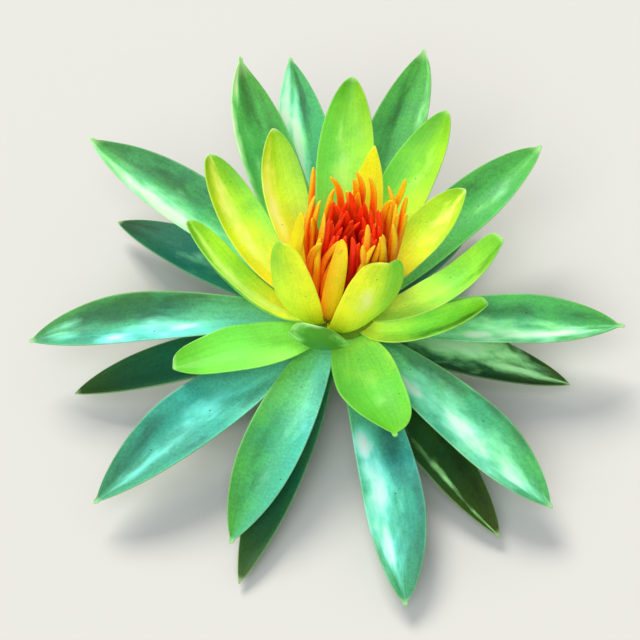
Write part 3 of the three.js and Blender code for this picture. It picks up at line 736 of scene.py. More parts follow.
    # The margin and the tip are paler, and a few specks dot the blade.
    centred = add(tree, "ShaderNodeMath", {0: across, 1: 2.0, 2: -1.0}, operation="MULTIPLY_ADD")
    outwards = add(tree, "ShaderNodeMath", {0: centred}, operation="ABSOLUTE")
    rim = add(
        tree, "ShaderNodeMapRange",
        {"Value": outwards, "From Min": 0.93, "From Max": 1.0, "To Max": margin},
        interpolation_type="SMOOTHSTEP",
    )
    tip_start = add(tree, "ShaderNodeMath", {0: 1.0, 1: pale}, operation="SUBTRACT")
    pale_tip = add(
        tree, "ShaderNodeMapRange",
        {"Value": along, "From Min": tip_start, "From Max": 1.0, "To Max": min(0.75, 3 * margin)},
        interpolation_type="SMOOTHSTEP",
    )
    paler = tuple(colours.margin)
    for share in (rim, pale_tip):
        colour = add(tree, "ShaderNodeMix", {0: share, 6: colour, 7: paler}, **MIXED)
    speck_scale = (BLADE_WIDTH / SPECK_SPACING, BLADE_LENGTH / SPECK_SPACING, 1.0)
    speck_grid = add(tree, "ShaderNodeMapping", {"Vector": chart, "Scale": speck_scale})
    speck_grid = add(tree, "ShaderNodeVectorMath", {0: speck_grid, 1: own}, operation="ADD")
    cells = add(
        tree, "ShaderNodeTexVoronoi", {"Vector": speck_grid, "Scale": 1.0}, output="Distance",
        voronoi_dimensions="2D",
    )
    speck = add(
        tree, "ShaderNodeMapRange",
        {"Value": cells, "From Min": SPECK_RADIUS / SPECK_SPACING,
         "From Max": 0.4 * SPECK_RADIUS / SPECK_SPACING, "To Max": 0.8},
    )
    colour = add(tree, "ShaderNodeMix", {0: speck, 6: colour, 7: linear(SPECK_COLOUR)}, **MIXED)

    relief = add(tree, "ShaderNodeMath", {0: grains, 1: 0.25, 2: veins}, operation="MULTIPLY_ADD")
    normal = add(
        tree, "ShaderNodeBump", {"Strength": 0.25, "Distance": 0.08 * MM, "Height": relief},
    )
    roughness = add(
        tree, "ShaderNodeMapRange",
        {"Value": mottle, "From Min": 0.3, "From Max": 0.7, "To Min": shine - 0.05,
         "To Max": shine + 0.08},
    )
    shader = add(tree, "ShaderNodeBsdfPrincipled", {
        "Base Color": colour, "Roughness": roughness, "Normal": normal, "IOR": 1.45,
        "Specular IOR Level": gloss, "Subsurface Weight": 0.35,
        "Subsurface Radius": (1.0, 1.0, 0.35), "Subsurface Scale": 2.2 * MM,
    })
    add(tree, "ShaderNodeOutputMaterial", {"Surface": shader})
    return material


def outer_petal_material():
    """Waxy petal tissue with a strong cuticle, blue-green to leaf green."""
    c = bpy.context.scene.lily_colours
    return petal_material(
        "waxy outer petal",
        [(0.1, tuple(c.outer_root)), (0.5, tuple(c.outer_middle)), (0.95, tuple(c.outer_tip))],
        [(0.1, linear("#78CE5A")), (0.5, linear("#46A44C")), (0.95, tuple(c.outer_green))],
        tuple(c.back),
        # Colours of the painted sheen: thin on unripe and ripe tissue, then thick on both.
        (tuple(c.painted_sheen), linear("#9CF490"), linear("#E4FFFA"), linear("#ECFBD2")),
        shine=0.52, gloss=0.3, grain=0.2,
    )


def sepal_material():
    """Thick leafy sepal tissue: darker and a little rougher than a petal."""
    c = bpy.context.scene.lily_colours
    return petal_material(
        "leafy sepal",
        [(0.1, linear("#3FA586")), (0.55, tuple(c.sepal_upper)), (1.0, linear("#0E4A22"))],
        [(0.1, linear("#3C7A34")), (0.6, tuple(c.sepal_olive)), (1.0, linear("#33450C"))],
        tuple(c.back),
        [linear(painted_sheen) for painted_sheen in ("#90E8B0", "#A8F098", "#C8F8D8", "#D8FCC8")],
        shine=0.55, gloss=0.2, margin=0.12, grain=0.2,
    )


def inner_petal_material():
    """Fresh petal tissue, thinner than the outer petals': clear green to yellow-green."""
    c = bpy.context.scene.lily_colours
    return petal_material(
        "waxy inner petal",
        [(0.1, linear("#98E858")), (0.55, tuple(c.inner_green)), (0.93, linear("#56B01C"))],
        [(0.1, linear("#F4EE1C")), (0.55, tuple(c.inner_lime)), (0.95, linear("#96CC12"))],
        linear("#4FA624"),
        [linear(painted_sheen) for painted_sheen in ("#A8F884", "#F4FC54", "#D0FCA8", "#FCFC9C")],
        yellow_root=0.9, margin=0.12,
    )


def cup_petal_material():
    """Young petal tissue round the stamens, yellow and the most translucent."""
    c = bpy.context.scene.lily_colours
    return petal_material(
        "young cup petal",
        [(0.1, linear("#E4F028")), (0.55, linear("#ACEC40")), (0.95, linear("#70CC2A"))],
        [(0.1, tuple(c.inner_yellow)), (0.55, linear("#F8FA28")), (0.95, linear("#E8F01C"))],
        linear("#9CD828"),
        [linear(painted_sheen) for painted_sheen in ("#E8FA70", "#FAFA90", "#F4FCA8", "#FCFCA8")],
        yellow_root=0.4, margin=0.03,
    )


def petaloid_material():
    """Tissue between petal and stamen: yellow with an orange root."""
    c = bpy.context.scene.lily_stamens
    return petal_material(
        "petaloid stamen",
        [(0.1, linear("#FBC010")), (0.5, linear("#FAE014")), (0.95, linear("#FBE81C"))],
        [(0.1, tuple(c.filament_orange)), (0.5, linear("#F8A80C")), (0.95, linear("#FBC81C"))],
        linear("#FAC818"),
        [linear(painted_sheen) for painted_sheen in ("#FFF070", "#FFF070", "#FFF8A0", "#FFF8A0")],
        margin=0.0,
    )


def stamen_material(name, foot, middle, tip):
    """Fleshy filament with a powdery anther: satin at the foot, grainy with pollen at the tip."""
    material, tree = new_material(name)
    here = add(tree, "ShaderNodeTexCoord", output="Object")
    along, across, shade = (
        add(tree, "ShaderNodeAttribute", output="Fac", attribute_name=key)
        for key in ("along", "across", "shade")
    )
    share = add(tree, "ShaderNodeMath", {0: shade, 1: 0.35, 2: along}, operation="MULTIPLY_ADD")
    stops = [(0.15, foot), (0.5, middle), (0.74, middle), (0.98, tip)]
    colour = add(tree, "ShaderNodeValToRGB", {0: share}, stops=stops)

    # The edges and the end of each anther have the tip's colour.
    edge = add(
        tree, "ShaderNodeMapRange",
        {"Value": across, "From Min": 0.45, "From Max": 1.0, "To Max": 0.65},
    )
    end = add(
        tree, "ShaderNodeMapRange",
        {"Value": along, "From Min": 0.68, "From Max": 0.97, "To Max": 0.8},
    )
    upper = add(tree, "ShaderNodeMath", {0: edge, 1: along, 2: end}, operation="MULTIPLY_ADD")
    colour = add(tree, "ShaderNodeMix", {0: upper, 6: colour, 7: tip}, **MIXED)

    pollen = add(
        tree, "ShaderNodeTexNoise",
        {"Vector": here, "Scale": 1 / (POLLEN_SIZE * MM), "Detail": 3.0, "Roughness": 0.6},
    )
    dust = add(
        tree, "ShaderNodeMapRange",
        {"Value": pollen, "From Min": 0.3, "From Max": 0.7, "To Min": 0.8, "To Max": 1.15},
    )
    colour = add(tree, "ShaderNodeMix", {0: 1.0, 6: colour, 7: dust}, **TINTED)
    normal = add(
        tree, "ShaderNodeBump", {"Strength": 0.4, "Distance": 0.1 * MM, "Height": pollen},
    )
    shader = add(tree, "ShaderNodeBsdfPrincipled", {
        "Base Color": colour, "Roughness": 0.5, "Normal": normal, "IOR": 1.42,
        "Subsurface Weight": 0.3, "Subsurface Radius": (1.0, 0.5, 0.2),
        "Subsurface Scale": 1.5 * MM,
    })
    add(tree, "ShaderNodeOutputMaterial", {"Surface": shader})
    return material


def receptacle_material():
    """Spongy green stem tissue: matt skin, drawn darker olive towards the crown as painted shade,
    and pale wet flesh where the stalk is cut.
    """
    c = bpy.context.scene.lily_colours
    material, tree = new_material("spongy stem tissue")
    here = add(tree, "ShaderNodeTexCoord", output="Object")
    height = add(tree, "ShaderNodeSeparateXYZ", {0: here}, output=2)
    sideways, upwards = 1 / (FIBRE_WIDTH * MM), 1 / (FIBRE_LENGTH * MM)
    fibres = add(
        tree, "ShaderNodeMapping", {"Vector": here, "Scale": (sideways, sideways, upwards)},
    )
    streaks = add(
        tree, "ShaderNodeTexNoise", {"Vector": fibres, "Scale": 1.0, "Detail": 3.0},
    )
    shade = add(
        tree, "ShaderNodeMapRange",
        {"Value": streaks, "From Min": 0.3, "From Max": 0.7, "To Min": 0.78, "To Max": 1.15},
    )
    colour = add(tree, "ShaderNodeMix", {0: 1.0, 6: tuple(c.receptacle), 7: shade}, **TINTED)
    # Painted shade: the crown is drawn darker olive, as if in the shadow of the blades above it.
    crown_shading = add(
        tree, "ShaderNodeMapRange",
        {"Value": height, "From Min": 15 * MM, "From Max": 21 * MM, "To Max": 0.9},
    )
    colour = add(tree, "ShaderNodeMix", {0: crown_shading, 6: colour, 7: linear("#7C861E")}, **MIXED)
    at_cut = add(
        tree, "ShaderNodeMapRange",
        {"Value": height, "From Min": 0.5 * MM, "From Max": 0.1 * MM},
    )
    colour = add(tree, "ShaderNodeMix", {0: at_cut, 6: colour, 7: tuple(c.cut_flesh)}, **MIXED)
    normal = add(
        tree, "ShaderNodeBump", {"Strength": 0.4, "Distance": 0.2 * MM, "Height": streaks},
    )
    shader = add(tree, "ShaderNodeBsdfPrincipled", {
        "Base Color": colour, "Roughness": 0.55, "Normal": normal, "IOR": 1.4,
        "Subsurface Weight": 0.2, "Subsurface Radius": (0.8, 1.0, 0.4),
        "Subsurface Scale": 2 * MM,
    })
    add(tree, "ShaderNodeOutputMaterial", {"Surface": shader})
    return material


def stigma_material():
    """Moist stigma tissue: orange-yellow, glossy along its rays."""
    c = bpy.context.scene.lily_stamens
    material, tree = new_material("moist stigma")
    here = add(tree, "ShaderNodeTexCoord", output="Object")
    grains = add(
        tree, "ShaderNodeTexNoise",
        {"Vector": here, "Scale": 1 / (POLLEN_SIZE * MM), "Detail": 3.0, "Roughness": 0.6},
    )
    red, orange = tuple(c.filament_red), tuple(c.stigma)
    colour = add(tree, "ShaderNodeMix", {0: grains, 6: red, 7: orange}, **MIXED)
    normal = add(
        tree, "ShaderNodeBump", {"Strength": 0.5, "Distance": 0.15 * MM, "Height": grains},
    )
    shader = add(tree, "ShaderNodeBsdfPrincipled", {
        "Base Color": colour, "Roughness": 0.35, "Normal": normal, "IOR": 1.4,
        "Subsurface Weight": 0.2, "Subsurface Radius": (1.0, 0.5, 0.2),
        "Subsurface Scale": 1.5 * MM,
    })
    add(tree, "ShaderNodeOutputMaterial", {"Surface": shader})
    return material


# ---- Geometry Nodes ------------------------------------------------------------------------------

TIP_CROWDING = 1.8  # above 1 the rings of a filament crowd towards its tip
FRONT_HOLD = 0.65  # the lean that a filament has at the sides, as a share of its own
STILLNESS = 0.7  # the sway of one that stands up in front, as a share of its own
WRITHE = 0.45  # mm that a filament waves to each side
WRITHE_TURN = 7.0  # radians of that wave from foot to tip
CAP_POWER = 17.0  # a higher one rounds off less of the tip
CAP_DEPTH = 0.93  # at 1 the tip would end in a point
FLATNESS = 0.76  # thickness of a filament as a share of its width
GROOVE = 0.28  # how far its edges turn in towards the flower's middle, in half widths

# The place of each point of a filament, from x, y and z on a rod of unit radius and height, the
# tree's inputs and the stamen's own draws: result, operation and its inputs.
STAMEN_FORMULA = [
    # The rings crowd towards the tip, so that it comes out round.
    ("left", "SUBTRACT", 0.5, "z"),
    ("left", "POWER", "left", TIP_CROWDING),
    ("along", "SUBTRACT", 1.0, "left"),
    ("along_2", "POWER", "along", 2.0),
    ("along_3", "POWER", "along", 3.0),
    ("cosine", "COSINE", "turn"),
    ("sine", "SINE", "turn"),
    ("back_sine", "MULTIPLY", "sine", -1.0),
    ("climbed", "MULTIPLY", "length", "along"),
    # Those at the back lean out the most and those at the front stand up.
    ("bend", "MULTIPLY", "Incurve", "bend"),
    ("curved", "MULTIPLY", "bend", "along_2"),
    ("freedom", "MULTIPLY_ADD", "sine", FRONT_HOLD, FRONT_HOLD),
    ("freedom", "MINIMUM", "freedom", 1.0),
    ("leant", "MULTIPLY", "slope", "freedom"),
    ("slope", "SUBTRACT", "leant", "curved"),
    ("spread", "MULTIPLY_ADD", "climbed", "slope", "Ring Radius"),
    ("swing", "MULTIPLY_ADD", "hook", "along_3", "sway"),
    ("eased", "MULTIPLY_ADD", "freedom", 1 - STILLNESS, STILLNESS),
    ("swing", "MULTIPLY", "swing", "Play"),
    ("swing", "MULTIPLY", "swing", "eased"),
    ("sideways", "MULTIPLY", "climbed", "swing"),
    # A slow wave, still at the foot, makes each filament writhe a little.
    ("turned", "MULTIPLY_ADD", "along", WRITHE_TURN, "phase"),
    ("wave", "SINE", "turned"),
    ("wave", "MULTIPLY", "wave", "along"),
    ("sideways", "MULTIPLY_ADD", "wave", WRITHE * MM, "sideways"),
    # The width falls off towards the tip, which is rounded.
    ("tapered", "MULTIPLY", "along_3", "Taper"),
    ("narrowing", "SUBTRACT", 1.0, "tapered"),
    ("cap", "POWER", "along", CAP_POWER),
    ("rounded", "MULTIPLY_ADD", "cap", -CAP_DEPTH, 1.0),
    ("rounded", "SQRT", "rounded"),
    ("half", "MULTIPLY", "narrowing", "rounded"),
    ("half", "MULTIPLY", "half", "Width"),
    ("half", "MULTIPLY", "half", 0.5),
    ("wide", "MULTIPLY_ADD", "half", "x", "sideways"),
    ("squared", "MULTIPLY", "x", "x"),
    ("groove", "MULTIPLY", "squared", GROOVE),
    ("flat", "MULTIPLY_ADD", "y", FLATNESS, "groove"),
    ("thick", "MULTIPLY", "flat", "half"),
    ("outwards", "SUBTRACT", "spread", "thick"),
    ("beside", "ABSOLUTE", "x"),
]


def new_tree(name, sizes):
    """A Geometry Nodes tree with a geometry input, named size inputs and a geometry output."""
    tree = bpy.data.node_groups.new(name, "GeometryNodeTree")
    tree.interface.new_socket("Geometry", in_out="INPUT", socket_type="NodeSocketGeometry")
    for label, kind in sizes:
        tree.interface.new_socket(label, in_out="INPUT", socket_type=kind)
    tree.interface.new_socket("Geometry", in_out="OUTPUT", socket_type="NodeSocketGeometry")
    given = tree.nodes.new("NodeGroupInput").outputs
    return tree, given


def use_tree(piece, tree, values):
    """Adds a tree to a piece as a modifier and sets its named inputs by their identifiers."""
    modifier = piece.modifiers.new(tree.name, "NODES")
    modifier.node_group = tree
    for item in tree.interface.items_tree:
        if item.in_out == "INPUT" and item.name in values:
            modifier[item.identifier] = values[item.name]


def settled_mesh(piece, name):
    """The plain mesh that a piece's modifiers give; the piece itself is taken away."""
    bpy.context.view_layer.update()
    evaluated = piece.evaluated_get(bpy.context.evaluated_depsgraph_get())
    mesh = bpy.data.meshes.new_from_object(evaluated)
    mesh.name = name
    piece.modifiers.clear()
    bpy.data.objects.remove(piece)
    return mesh


def stamen_tree():
    """A row of stamens on a ring: flat filaments that narrow upwards, lean and hook at random."""
    tree, given = new_tree("Stamen Row", [
        ("Count", "NodeSocketInt"), ("Seed", "NodeSocketInt"),
        *((label, "NodeSocketFloat") for label in (
            "Offset", "Ring Radius", "Shortest", "Longest", "Least Slope", "Most Slope",
            "Incurve", "Width", "Taper", "First Gap", "Second Gap", "Gap Width", "Play",
        )),
        ("Foot", "NodeSocketVector"), ("Axis", "NodeSocketVector"),
        ("Material", "NodeSocketMaterial"),
    ])
    math_node, vector_node = "ShaderNodeMath", "ShaderNodeVectorMath"

    # Each stamen's turn about the ring, and its own length and leans.
    ranges = {
        "scatter": (-0.06, 0.06), "length": (given["Shortest"], given["Longest"]),
        "slope": (given["Least Slope"], given["Most Slope"]), "sway": (-0.15, 0.19),
        "hook": (-0.22, 0.22), "shade": (-1.0, 1.0), "bend": (0.6, 1.5), "phase": (0.0, math.tau),
    }
    own = {}
    for salt, (key, (low, high)) in enumerate(ranges.items(), start=1):
        seed = add(tree, math_node, {0: given["Seed"], 1: float(salt)}, operation="ADD")
        own[key] = add(
            tree, "FunctionNodeRandomValue", {2: low, 3: high, "Seed": seed}, output=1,
            data_type="FLOAT",
        )
    dots = add(tree, "GeometryNodePoints", {"Count": given["Count"]})
    index = add(tree, "GeometryNodeInputIndex")
    place_in_row = add(tree, math_node, {0: index, 1: given["Offset"]}, operation="ADD")
    share = add(tree, math_node, {0: place_in_row, 1: given["Count"]}, operation="DIVIDE")
    own["turn"] = add(
        tree, math_node, {0: share, 1: math.tau, 2: own.pop("scatter")}, operation="MULTIPLY_ADD",
    )
    known = {}
    for key, value in own.items():
        dots = add(
            tree, "GeometryNodeStoreNamedAttribute",
            {"Geometry": dots, "Name": key, "Value": value}, data_type="FLOAT", domain="POINT",
        )
        known[key] = add(
            tree, "GeometryNodeInputNamedAttribute", {"Name": key}, data_type="FLOAT",
        )

    # No stamen stands where a petaloid takes its room.
    for gap in ("First Gap", "Second Gap"):
        apart = add(tree, math_node, {0: known["turn"], 1: given[gap]}, operation="SUBTRACT")
        near = add(tree, math_node, {0: apart}, operation="ABSOLUTE")
        inside = add(
            tree, "FunctionNodeCompare", {0: near, 1: given["Gap Width"]},
            data_type="FLOAT", operation="LESS_THAN",
        )
        dots = add(
            tree, "GeometryNodeDeleteGeometry", {"Geometry": dots, "Selection": inside},
            domain="POINT",
        )

    # Each is a rod of unit radius and height, and the formula gives its points their places.
    rod = add(
        tree, "GeometryNodeMeshCylinder",
        {"Vertices": 8, "Side Segments": 14, "Radius": 1.0, "Depth": 1.0},
    )
    rods = add(tree, "GeometryNodeInstanceOnPoints", {"Points": dots, "Instance": rod})
    rods = add(tree, "GeometryNodeRealizeInstances", {"Geometry": rods})
    local = add(tree, "GeometryNodeInputPosition")
    known["x"] = add(tree, "ShaderNodeSeparateXYZ", {0: local})
    known["y"], known["z"] = known["x"].node.outputs[1:]
    for label in ("Ring Radius", "Incurve", "Width", "Taper", "Play"):
        known[label] = given[label]
    for result, operation, *inputs in STAMEN_FORMULA:
        links = {i: known.get(value, value) for i, value in enumerate(inputs)}
        known[result] = add(tree, math_node, links, operation=operation)

    out = add(tree, "ShaderNodeCombineXYZ", {0: known["cosine"], 1: known["sine"]})
    side = add(tree, "ShaderNodeCombineXYZ", {0: known["back_sine"], 1: known["cosine"]})
    spot, aside, above = (
        add(tree, vector_node, {0: direction, 3: known[amount]}, operation="SCALE")
        for direction, amount in ((out, "outwards"), (side, "wide"), (given["Axis"], "climbed"))
    )
    for part in (aside, above, given["Foot"]):
        spot = add(tree, vector_node, {0: spot, 1: part}, operation="ADD")
    for key, value in (("along", known["along"]), ("across", known["beside"])):
        rods = add(
            tree, "GeometryNodeStoreNamedAttribute",
            {"Geometry": rods, "Name": key, "Value": value}, data_type="FLOAT", domain="POINT",
        )
    rods = add(tree, "GeometryNodeSetPosition", {"Geometry": rods, "Position": spot})
    rods = add(
        tree, "GeometryNodeSetShadeSmooth", {"Geometry": rods, "Shade Smooth": True},
    )
    del own["shade"]  # the material reads it
    for key in own:
        rods = add(tree, "GeometryNodeRemoveAttribute", {"Geometry": rods, "Name": key})
    both = add(tree, "GeometryNodeJoinGeometry", {0: rods})
    tree.links.new(given["Geometry"], both.node.inputs[0])
    whole = add(tree, "GeometryNodeRealizeInstances", {"Geometry": both})
    whole = add(tree, "GeometryNodeSetMaterial", {"Geometry": whole, "Material": given["Material"]})
    add(tree, "NodeGroupOutput", {0: whole})
    return tree


# ---- Heads of stamens ----------------------------------------------------------------------------

COLLAR_Z = CROWN_Z + 0.3
COLLAR_THICKNESS = 1.2
COLLAR_ROUNDING = 0.3
OUTER_COLLAR = (8.0, 10.7)  # inner and outer radius
INNER_COLLAR = (6.0, 7.7)
STAMEN_AXIS = (0.08, 0.03, 1.0)  # the heads lean a little with the crown
PETALOID_GAPS = [math.radians(p["root"]) for p in PETALOIDS]
GAP_WIDTH = math.radians(14)  # to each side of a petaloid
NO_GAP = -1.0  # a gap of this width keeps every stamen
OUTER_ROWS = [
    dict(radius=9.9, offset=0.0, length=(18, 25.1), slope=(0.04, 0.34), incurve=0.06, width=2.1,
         taper=0.4, play=1.0, seed=3),
    dict(radius=8.9, offset=0.5, length=(18, 24), slope=(0.0, 0.14), incurve=0.08, width=2.1,
         taper=0.4, play=0.9, seed=11),
]
INNER_ROWS = [
    dict(radius=7.3, offset=0.25, length=(17, 22), slope=(-0.06, 0.04), incurve=0.03, width=2.3,
         taper=0.55, play=0.7, seed=5),
    dict(radius=6.7, offset=0.75, length=(15.5, 20), slope=(-0.17, -0.05), incurve=0.03, width=2.3,
         taper=0.55, play=0.6, seed=9),
    dict(radius=6.3, offset=0.0, length=(14, 18), slope=(-0.34, -0.17), incurve=0.0, width=2.3,
         taper=0.55, play=0.5, seed=14),
]


def ring_mesh(name, inner, outer, z, thickness, corners=56):
    """A flat collar with rounded edges, centred on the leaning crown."""
    profile = [
        (inner, 0.0), (outer, 0.0), (outer, thickness * 0.7),
        (outer - COLLAR_ROUNDING, thickness), (inner + COLLAR_ROUNDING, thickness),
        (inner, thickness * 0.7),
    ]
    points, faces = [], []
    count = len(profile)
    for i in range(corners):
        around = unit(360 * i / corners)
        for radius, height in profile:
            points.append(around * radius + lean(CROWN_Z) + np.array([0, 0, z + height]))
        for j in range(count):
            a, b = i * count + j, i * count + (j + 1) % count
            c = (i + 1) % corners * count + j
            d = (i + 1) % corners * count + (j + 1) % count
            faces.append((a, c, d, b))
    values = {key: np.zeros(len(points)) for key in ("along", "across", "shade")}
    return grid_mesh(name, np.array(points), faces, np.zeros((len(points), 2)), values)


def grow_head(name, node, ring, rows, count, gap_width, material):
    """A collar with its rows of stamens, as one piece."""
    base = ring_mesh(name + "_collar", *ring, COLLAR_Z, COLLAR_THICKNESS)
    piece = bpy.data.objects.new(name + "_work", base)
    bpy.context.scene.collection.objects.link(piece)
    tree = stamen_tree()
    foot = lean(CROWN_Z) + np.array([0, 0, COLLAR_Z + COLLAR_THICKNESS / 2])
    for row in rows:
        use_tree(piece, tree, {
            "Count": count, "Offset": row["offset"], "Ring Radius": row["radius"] * MM,
            "Foot": [float(v) * MM for v in foot], "Axis": STAMEN_AXIS,
            "Shortest": row["length"][0] * MM, "Longest": row["length"][1] * MM,
            "Least Slope": row["slope"][0], "Most Slope": row["slope"][1],
            "Incurve": row["incurve"], "Width": row["width"] * MM, "Taper": row["taper"],
            "First Gap": PETALOID_GAPS[0], "Second Gap": PETALOID_GAPS[1],
            "Gap Width": gap_width, "Play": row["play"], "Seed": row["seed"],
            "Material": material,
        })
    place(name, settled_mesh(piece, name), [node])


# ---- Receptacle and stigma -----------------------------------------------------------------------

AXIS_RADIUS = 0.05  # where a turned form closes on its axis
SKIN_RIDGES = 12
SKIN_RELIEF = 0.0075  # height of the ridges, as a share of the radius
SKIN_INSET = 0.008  # how far the skin stays inside the solid, as a share of the radius
CANALS = [(5, 2.1, 0.72), (10, 3.55, 0.34)]  # count, radius of their ring and their own radius
CANAL_DEPTH = 8.0
RAY_HEIGHT = 0.45
STIGMA_SCALE = 0.96  # keeps the rays' ends inside the solid
STIGMA_PROFILE = [
    (0.2, 0.0), (5.0, 0.0), (5.6, 1.7), (4.0, 1.3), (2.0, 0.8), (1.2, 1.2), (1.0, 2.0), (0.1, 2.3),
]  # radius and height from the foot over the rim to the knob's top


def lathe(name, profile, corners, shape):
    """A closed turned form: (radius, height) points from the lower axis to the upper one, which
    shape moves to another radius and height at each turn."""
    points, faces, maps = [], [], []
    for k, (radius, height) in enumerate(profile):
        for i in range(corners):
            turn = 360 * i / corners
            grown, raised = shape(radius, height, turn)
            points.append(unit(turn) * grown + lean(raised) + np.array([0, 0, raised]))
            maps.append((i / corners, k / (len(profile) - 1)))
    for k in range(len(profile) - 1):
        for i in range(corners):
            a, b = k * corners + i, k * corners + (i + 1) % corners
            faces.append((a, b, b + corners, a + corners))
    faces.append(tuple(reversed(range(corners))))
    faces.append(tuple(range((len(profile) - 1) * corners, len(profile) * corners)))
    return grid_mesh(name, np.array(points), faces, np.array(maps), {})


def canal_tree():
    """A ring of air canals bored up into the stalk's cut."""
    tree, given = new_tree("Air Canals", [
        ("Count", "NodeSocketInt"), ("Ring Radius", "NodeSocketFloat"),
        ("Canal Radius", "NodeSocketFloat"), ("Depth", "NodeSocketFloat"),
        ("Material", "NodeSocketMaterial"),
    ])
    ring = add(
        tree, "GeometryNodeMeshCircle",
        {"Vertices": given["Count"], "Radius": given["Ring Radius"]},
    )
    bore = add(
        tree, "GeometryNodeMeshCylinder",
        {"Vertices": 16, "Radius": given["Canal Radius"], "Depth": given["Depth"]},
    )
    bores = add(tree, "GeometryNodeInstanceOnPoints", {"Points": ring, "Instance": bore})
    bores = add(tree, "GeometryNodeRealizeInstances", {"Geometry": bores})
    cut = add(
        tree, "GeometryNodeMeshBoolean", {0: given["Geometry"], 1: bores},
        operation="DIFFERENCE", solver="EXACT",
    )
    whole = add(tree, "GeometryNodeRealizeInstances", {"Geometry": cut})
    whole = add(tree, "GeometryNodeSetMaterial", {"Geometry": whole, "Material": given["Material"]})
    add(tree, "NodeGroupOutput", {0: whole})
    return tree


def rounded_profile(points, steps=5):
    """A profile with each corner between its ends eased into a short curve."""
    eased = [points[0]]
    for before, corner, after in zip(points, points[1:], points[2:]):
        a, b, c = np.array(before), np.array(corner), np.array(after)
        reach = min(1.0, np.linalg.norm(b - a) / 2.5, np.linalg.norm(c - b) / 2.5)
        start = b + (a - b) / np.linalg.norm(a - b) * reach
        end = b + (c - b) / np.linalg.norm(c - b) * reach
        for step in range(steps + 1):
            t = step / steps
            eased.append(tuple((1 - t) ** 2 * start + 2 * t * (1 - t) * b + t ** 2 * end))
    return eased + [points[-1]]


# ---- Operators -----------------------------------------------------------------------------------


class LILY_OT_receptacle(bpy.types.Operator):
    """Make the fleshy receptacle with the cut stub of its stalk"""

    bl_idname = "lily.receptacle"
    bl_label = "Receptacle"

    def execute(self, context):
        profile = rounded_profile([
            (AXIS_RADIUS, 0.0), (STALK_RADIUS, 0.0), (STALK_RADIUS, STALK_TOP),
            (FLARE_RADIUS, FLARE_Z), (SHOULDER_RADIUS, SHOULDER_Z), (CROWN_RADIUS, CROWN_Z),
            (AXIS_RADIUS, CROWN_Z),
        ])

        def fleshy(radius, height, turn):
            ridges = SKIN_RELIEF * math.sin(math.radians(turn) * SKIN_RIDGES + height * 0.3)
            return radius * (1 + (ridges if height > 1 else 0) - SKIN_INSET), height

        mesh = lathe("receptacle_flesh", profile, 72, fleshy)
        work = bpy.data.objects.new("receptacle_work", mesh)
        context.scene.collection.objects.link(work)
        material = receptacle_material()
        tree = canal_tree()
        for count, ring, canal in CANALS:
            use_tree(work, tree, {
                "Count": count, "Ring Radius": ring * MM, "Canal Radius": canal * MM,
                "Depth": CANAL_DEPTH * MM, "Material": material,
            })
        mesh = settled_mesh(work, "receptacle_flesh")
        place("receptacle_flesh", mesh, ["receptacle"])
        return {"FINISHED"}


class LILY_OT_sepals(bpy.types.Operator):
    """Make the sepals and the lowest petals, in deep green"""

    bl_idname = "lily.sepals"
    bl_label = "Sepals and Lowest Petals"

    def execute(self, context):
        material = sepal_material()
        grow_blades(SEPALS, material)
        grow_blades(LOWER_PETALS, material)
        return {"FINISHED"}


class LILY_OT_outer_petals(bpy.types.Operator):
    """Make the long blue-green outer petals"""

    bl_idname = "lily.outer_petals"
    bl_label = "Outer Petals"

    def execute(self, context):
        grow_blades(OUTER_PETALS, outer_petal_material())
        return {"FINISHED"}


class LILY_OT_inner_petals(bpy.types.Operator):
    """Make the green to yellow-green inner petals"""

    bl_idname = "lily.inner_petals"
    bl_label = "Inner Petals"

    def execute(self, context):
        grow_blades(INNER_PETALS, inner_petal_material())
        return {"FINISHED"}


class LILY_OT_cup_petals(bpy.types.Operator):
    """Make the upright yellow petals round the stamens"""

    bl_idname = "lily.cup_petals"
    bl_label = "Cup Petals"

    def execute(self, context):
        grow_blades(CUP_PETALS, cup_petal_material())
        return {"FINISHED"}


class LILY_OT_petaloids(bpy.types.Operator):
    """Make the two narrow yellow blades that stand among the stamens"""

    bl_idname = "lily.petaloids"
    bl_label = "Petaloids"

    def execute(self, context):
        grow_blades(PETALOIDS, petaloid_material())
        return {"FINISHED"}


class LILY_OT_outer_stamens(bpy.types.Operator):
    """Make the outer head of orange stamens with yellow tips"""

    bl_idname = "lily.outer_stamens"
    bl_label = "Outer Stamens"

    def execute(self, context):
        c = context.scene.lily_stamens
        material = stamen_material(
            "fleshy orange filament",
            linear("#FA3208"), tuple(c.filament_orange), tuple(c.anther_yellow),
        )
        grow_head(
            "outer_stamen_head", "outer_stamens", OUTER_COLLAR, OUTER_ROWS,
            c.outer_count, GAP_WIDTH, material,
        )
        return {"FINISHED"}


class LILY_OT_inner_stamens(bpy.types.Operator):
    """Make the inner head of deep red stamens"""

    bl_idname = "lily.inner_stamens"
    bl_label = "Inner Stamens"

    def execute(self, context):
        c = context.scene.lily_stamens
        material = stamen_material(
            "fleshy red filament",
            linear("#B80A04"), tuple(c.filament_red), linear("#FA4608"),
        )
        grow_head(
            "inner_stamen_head", "inner_stamens", INNER_COLLAR, INNER_ROWS,
            c.inner_count, NO_GAP, material,
        )
        return {"FINISHED"}


class LILY_OT_stigma(bpy.types.Operator):
    """Make the stigma, a shallow dish of rays round a knob"""

    bl_idname = "lily.stigma"
    bl_label = "Stigma"

    def execute(self, context):
        rays = context.scene.lily_stamens.stigma_rays

        def rayed(radius, height, turn):
            wave = 0.5 + 0.5 * math.cos(math.radians(turn) * rays)
            on_dish = radius > 1.4 and height > 0.6
            raised = RAY_HEIGHT * wave * min(1.0, radius / 4) if on_dish else 0
            grown = radius * (1 + 0.03 * wave * (radius > 5)) * STIGMA_SCALE
            return grown, COLLAR_Z + height + raised

        mesh = lathe("stigma", rounded_profile(STIGMA_PROFILE), rays * 8, rayed)
        mesh.materials.append(stigma_material())
        place("stigma_dish", mesh, ["stigma_disc"])
        return {"FINISHED"}


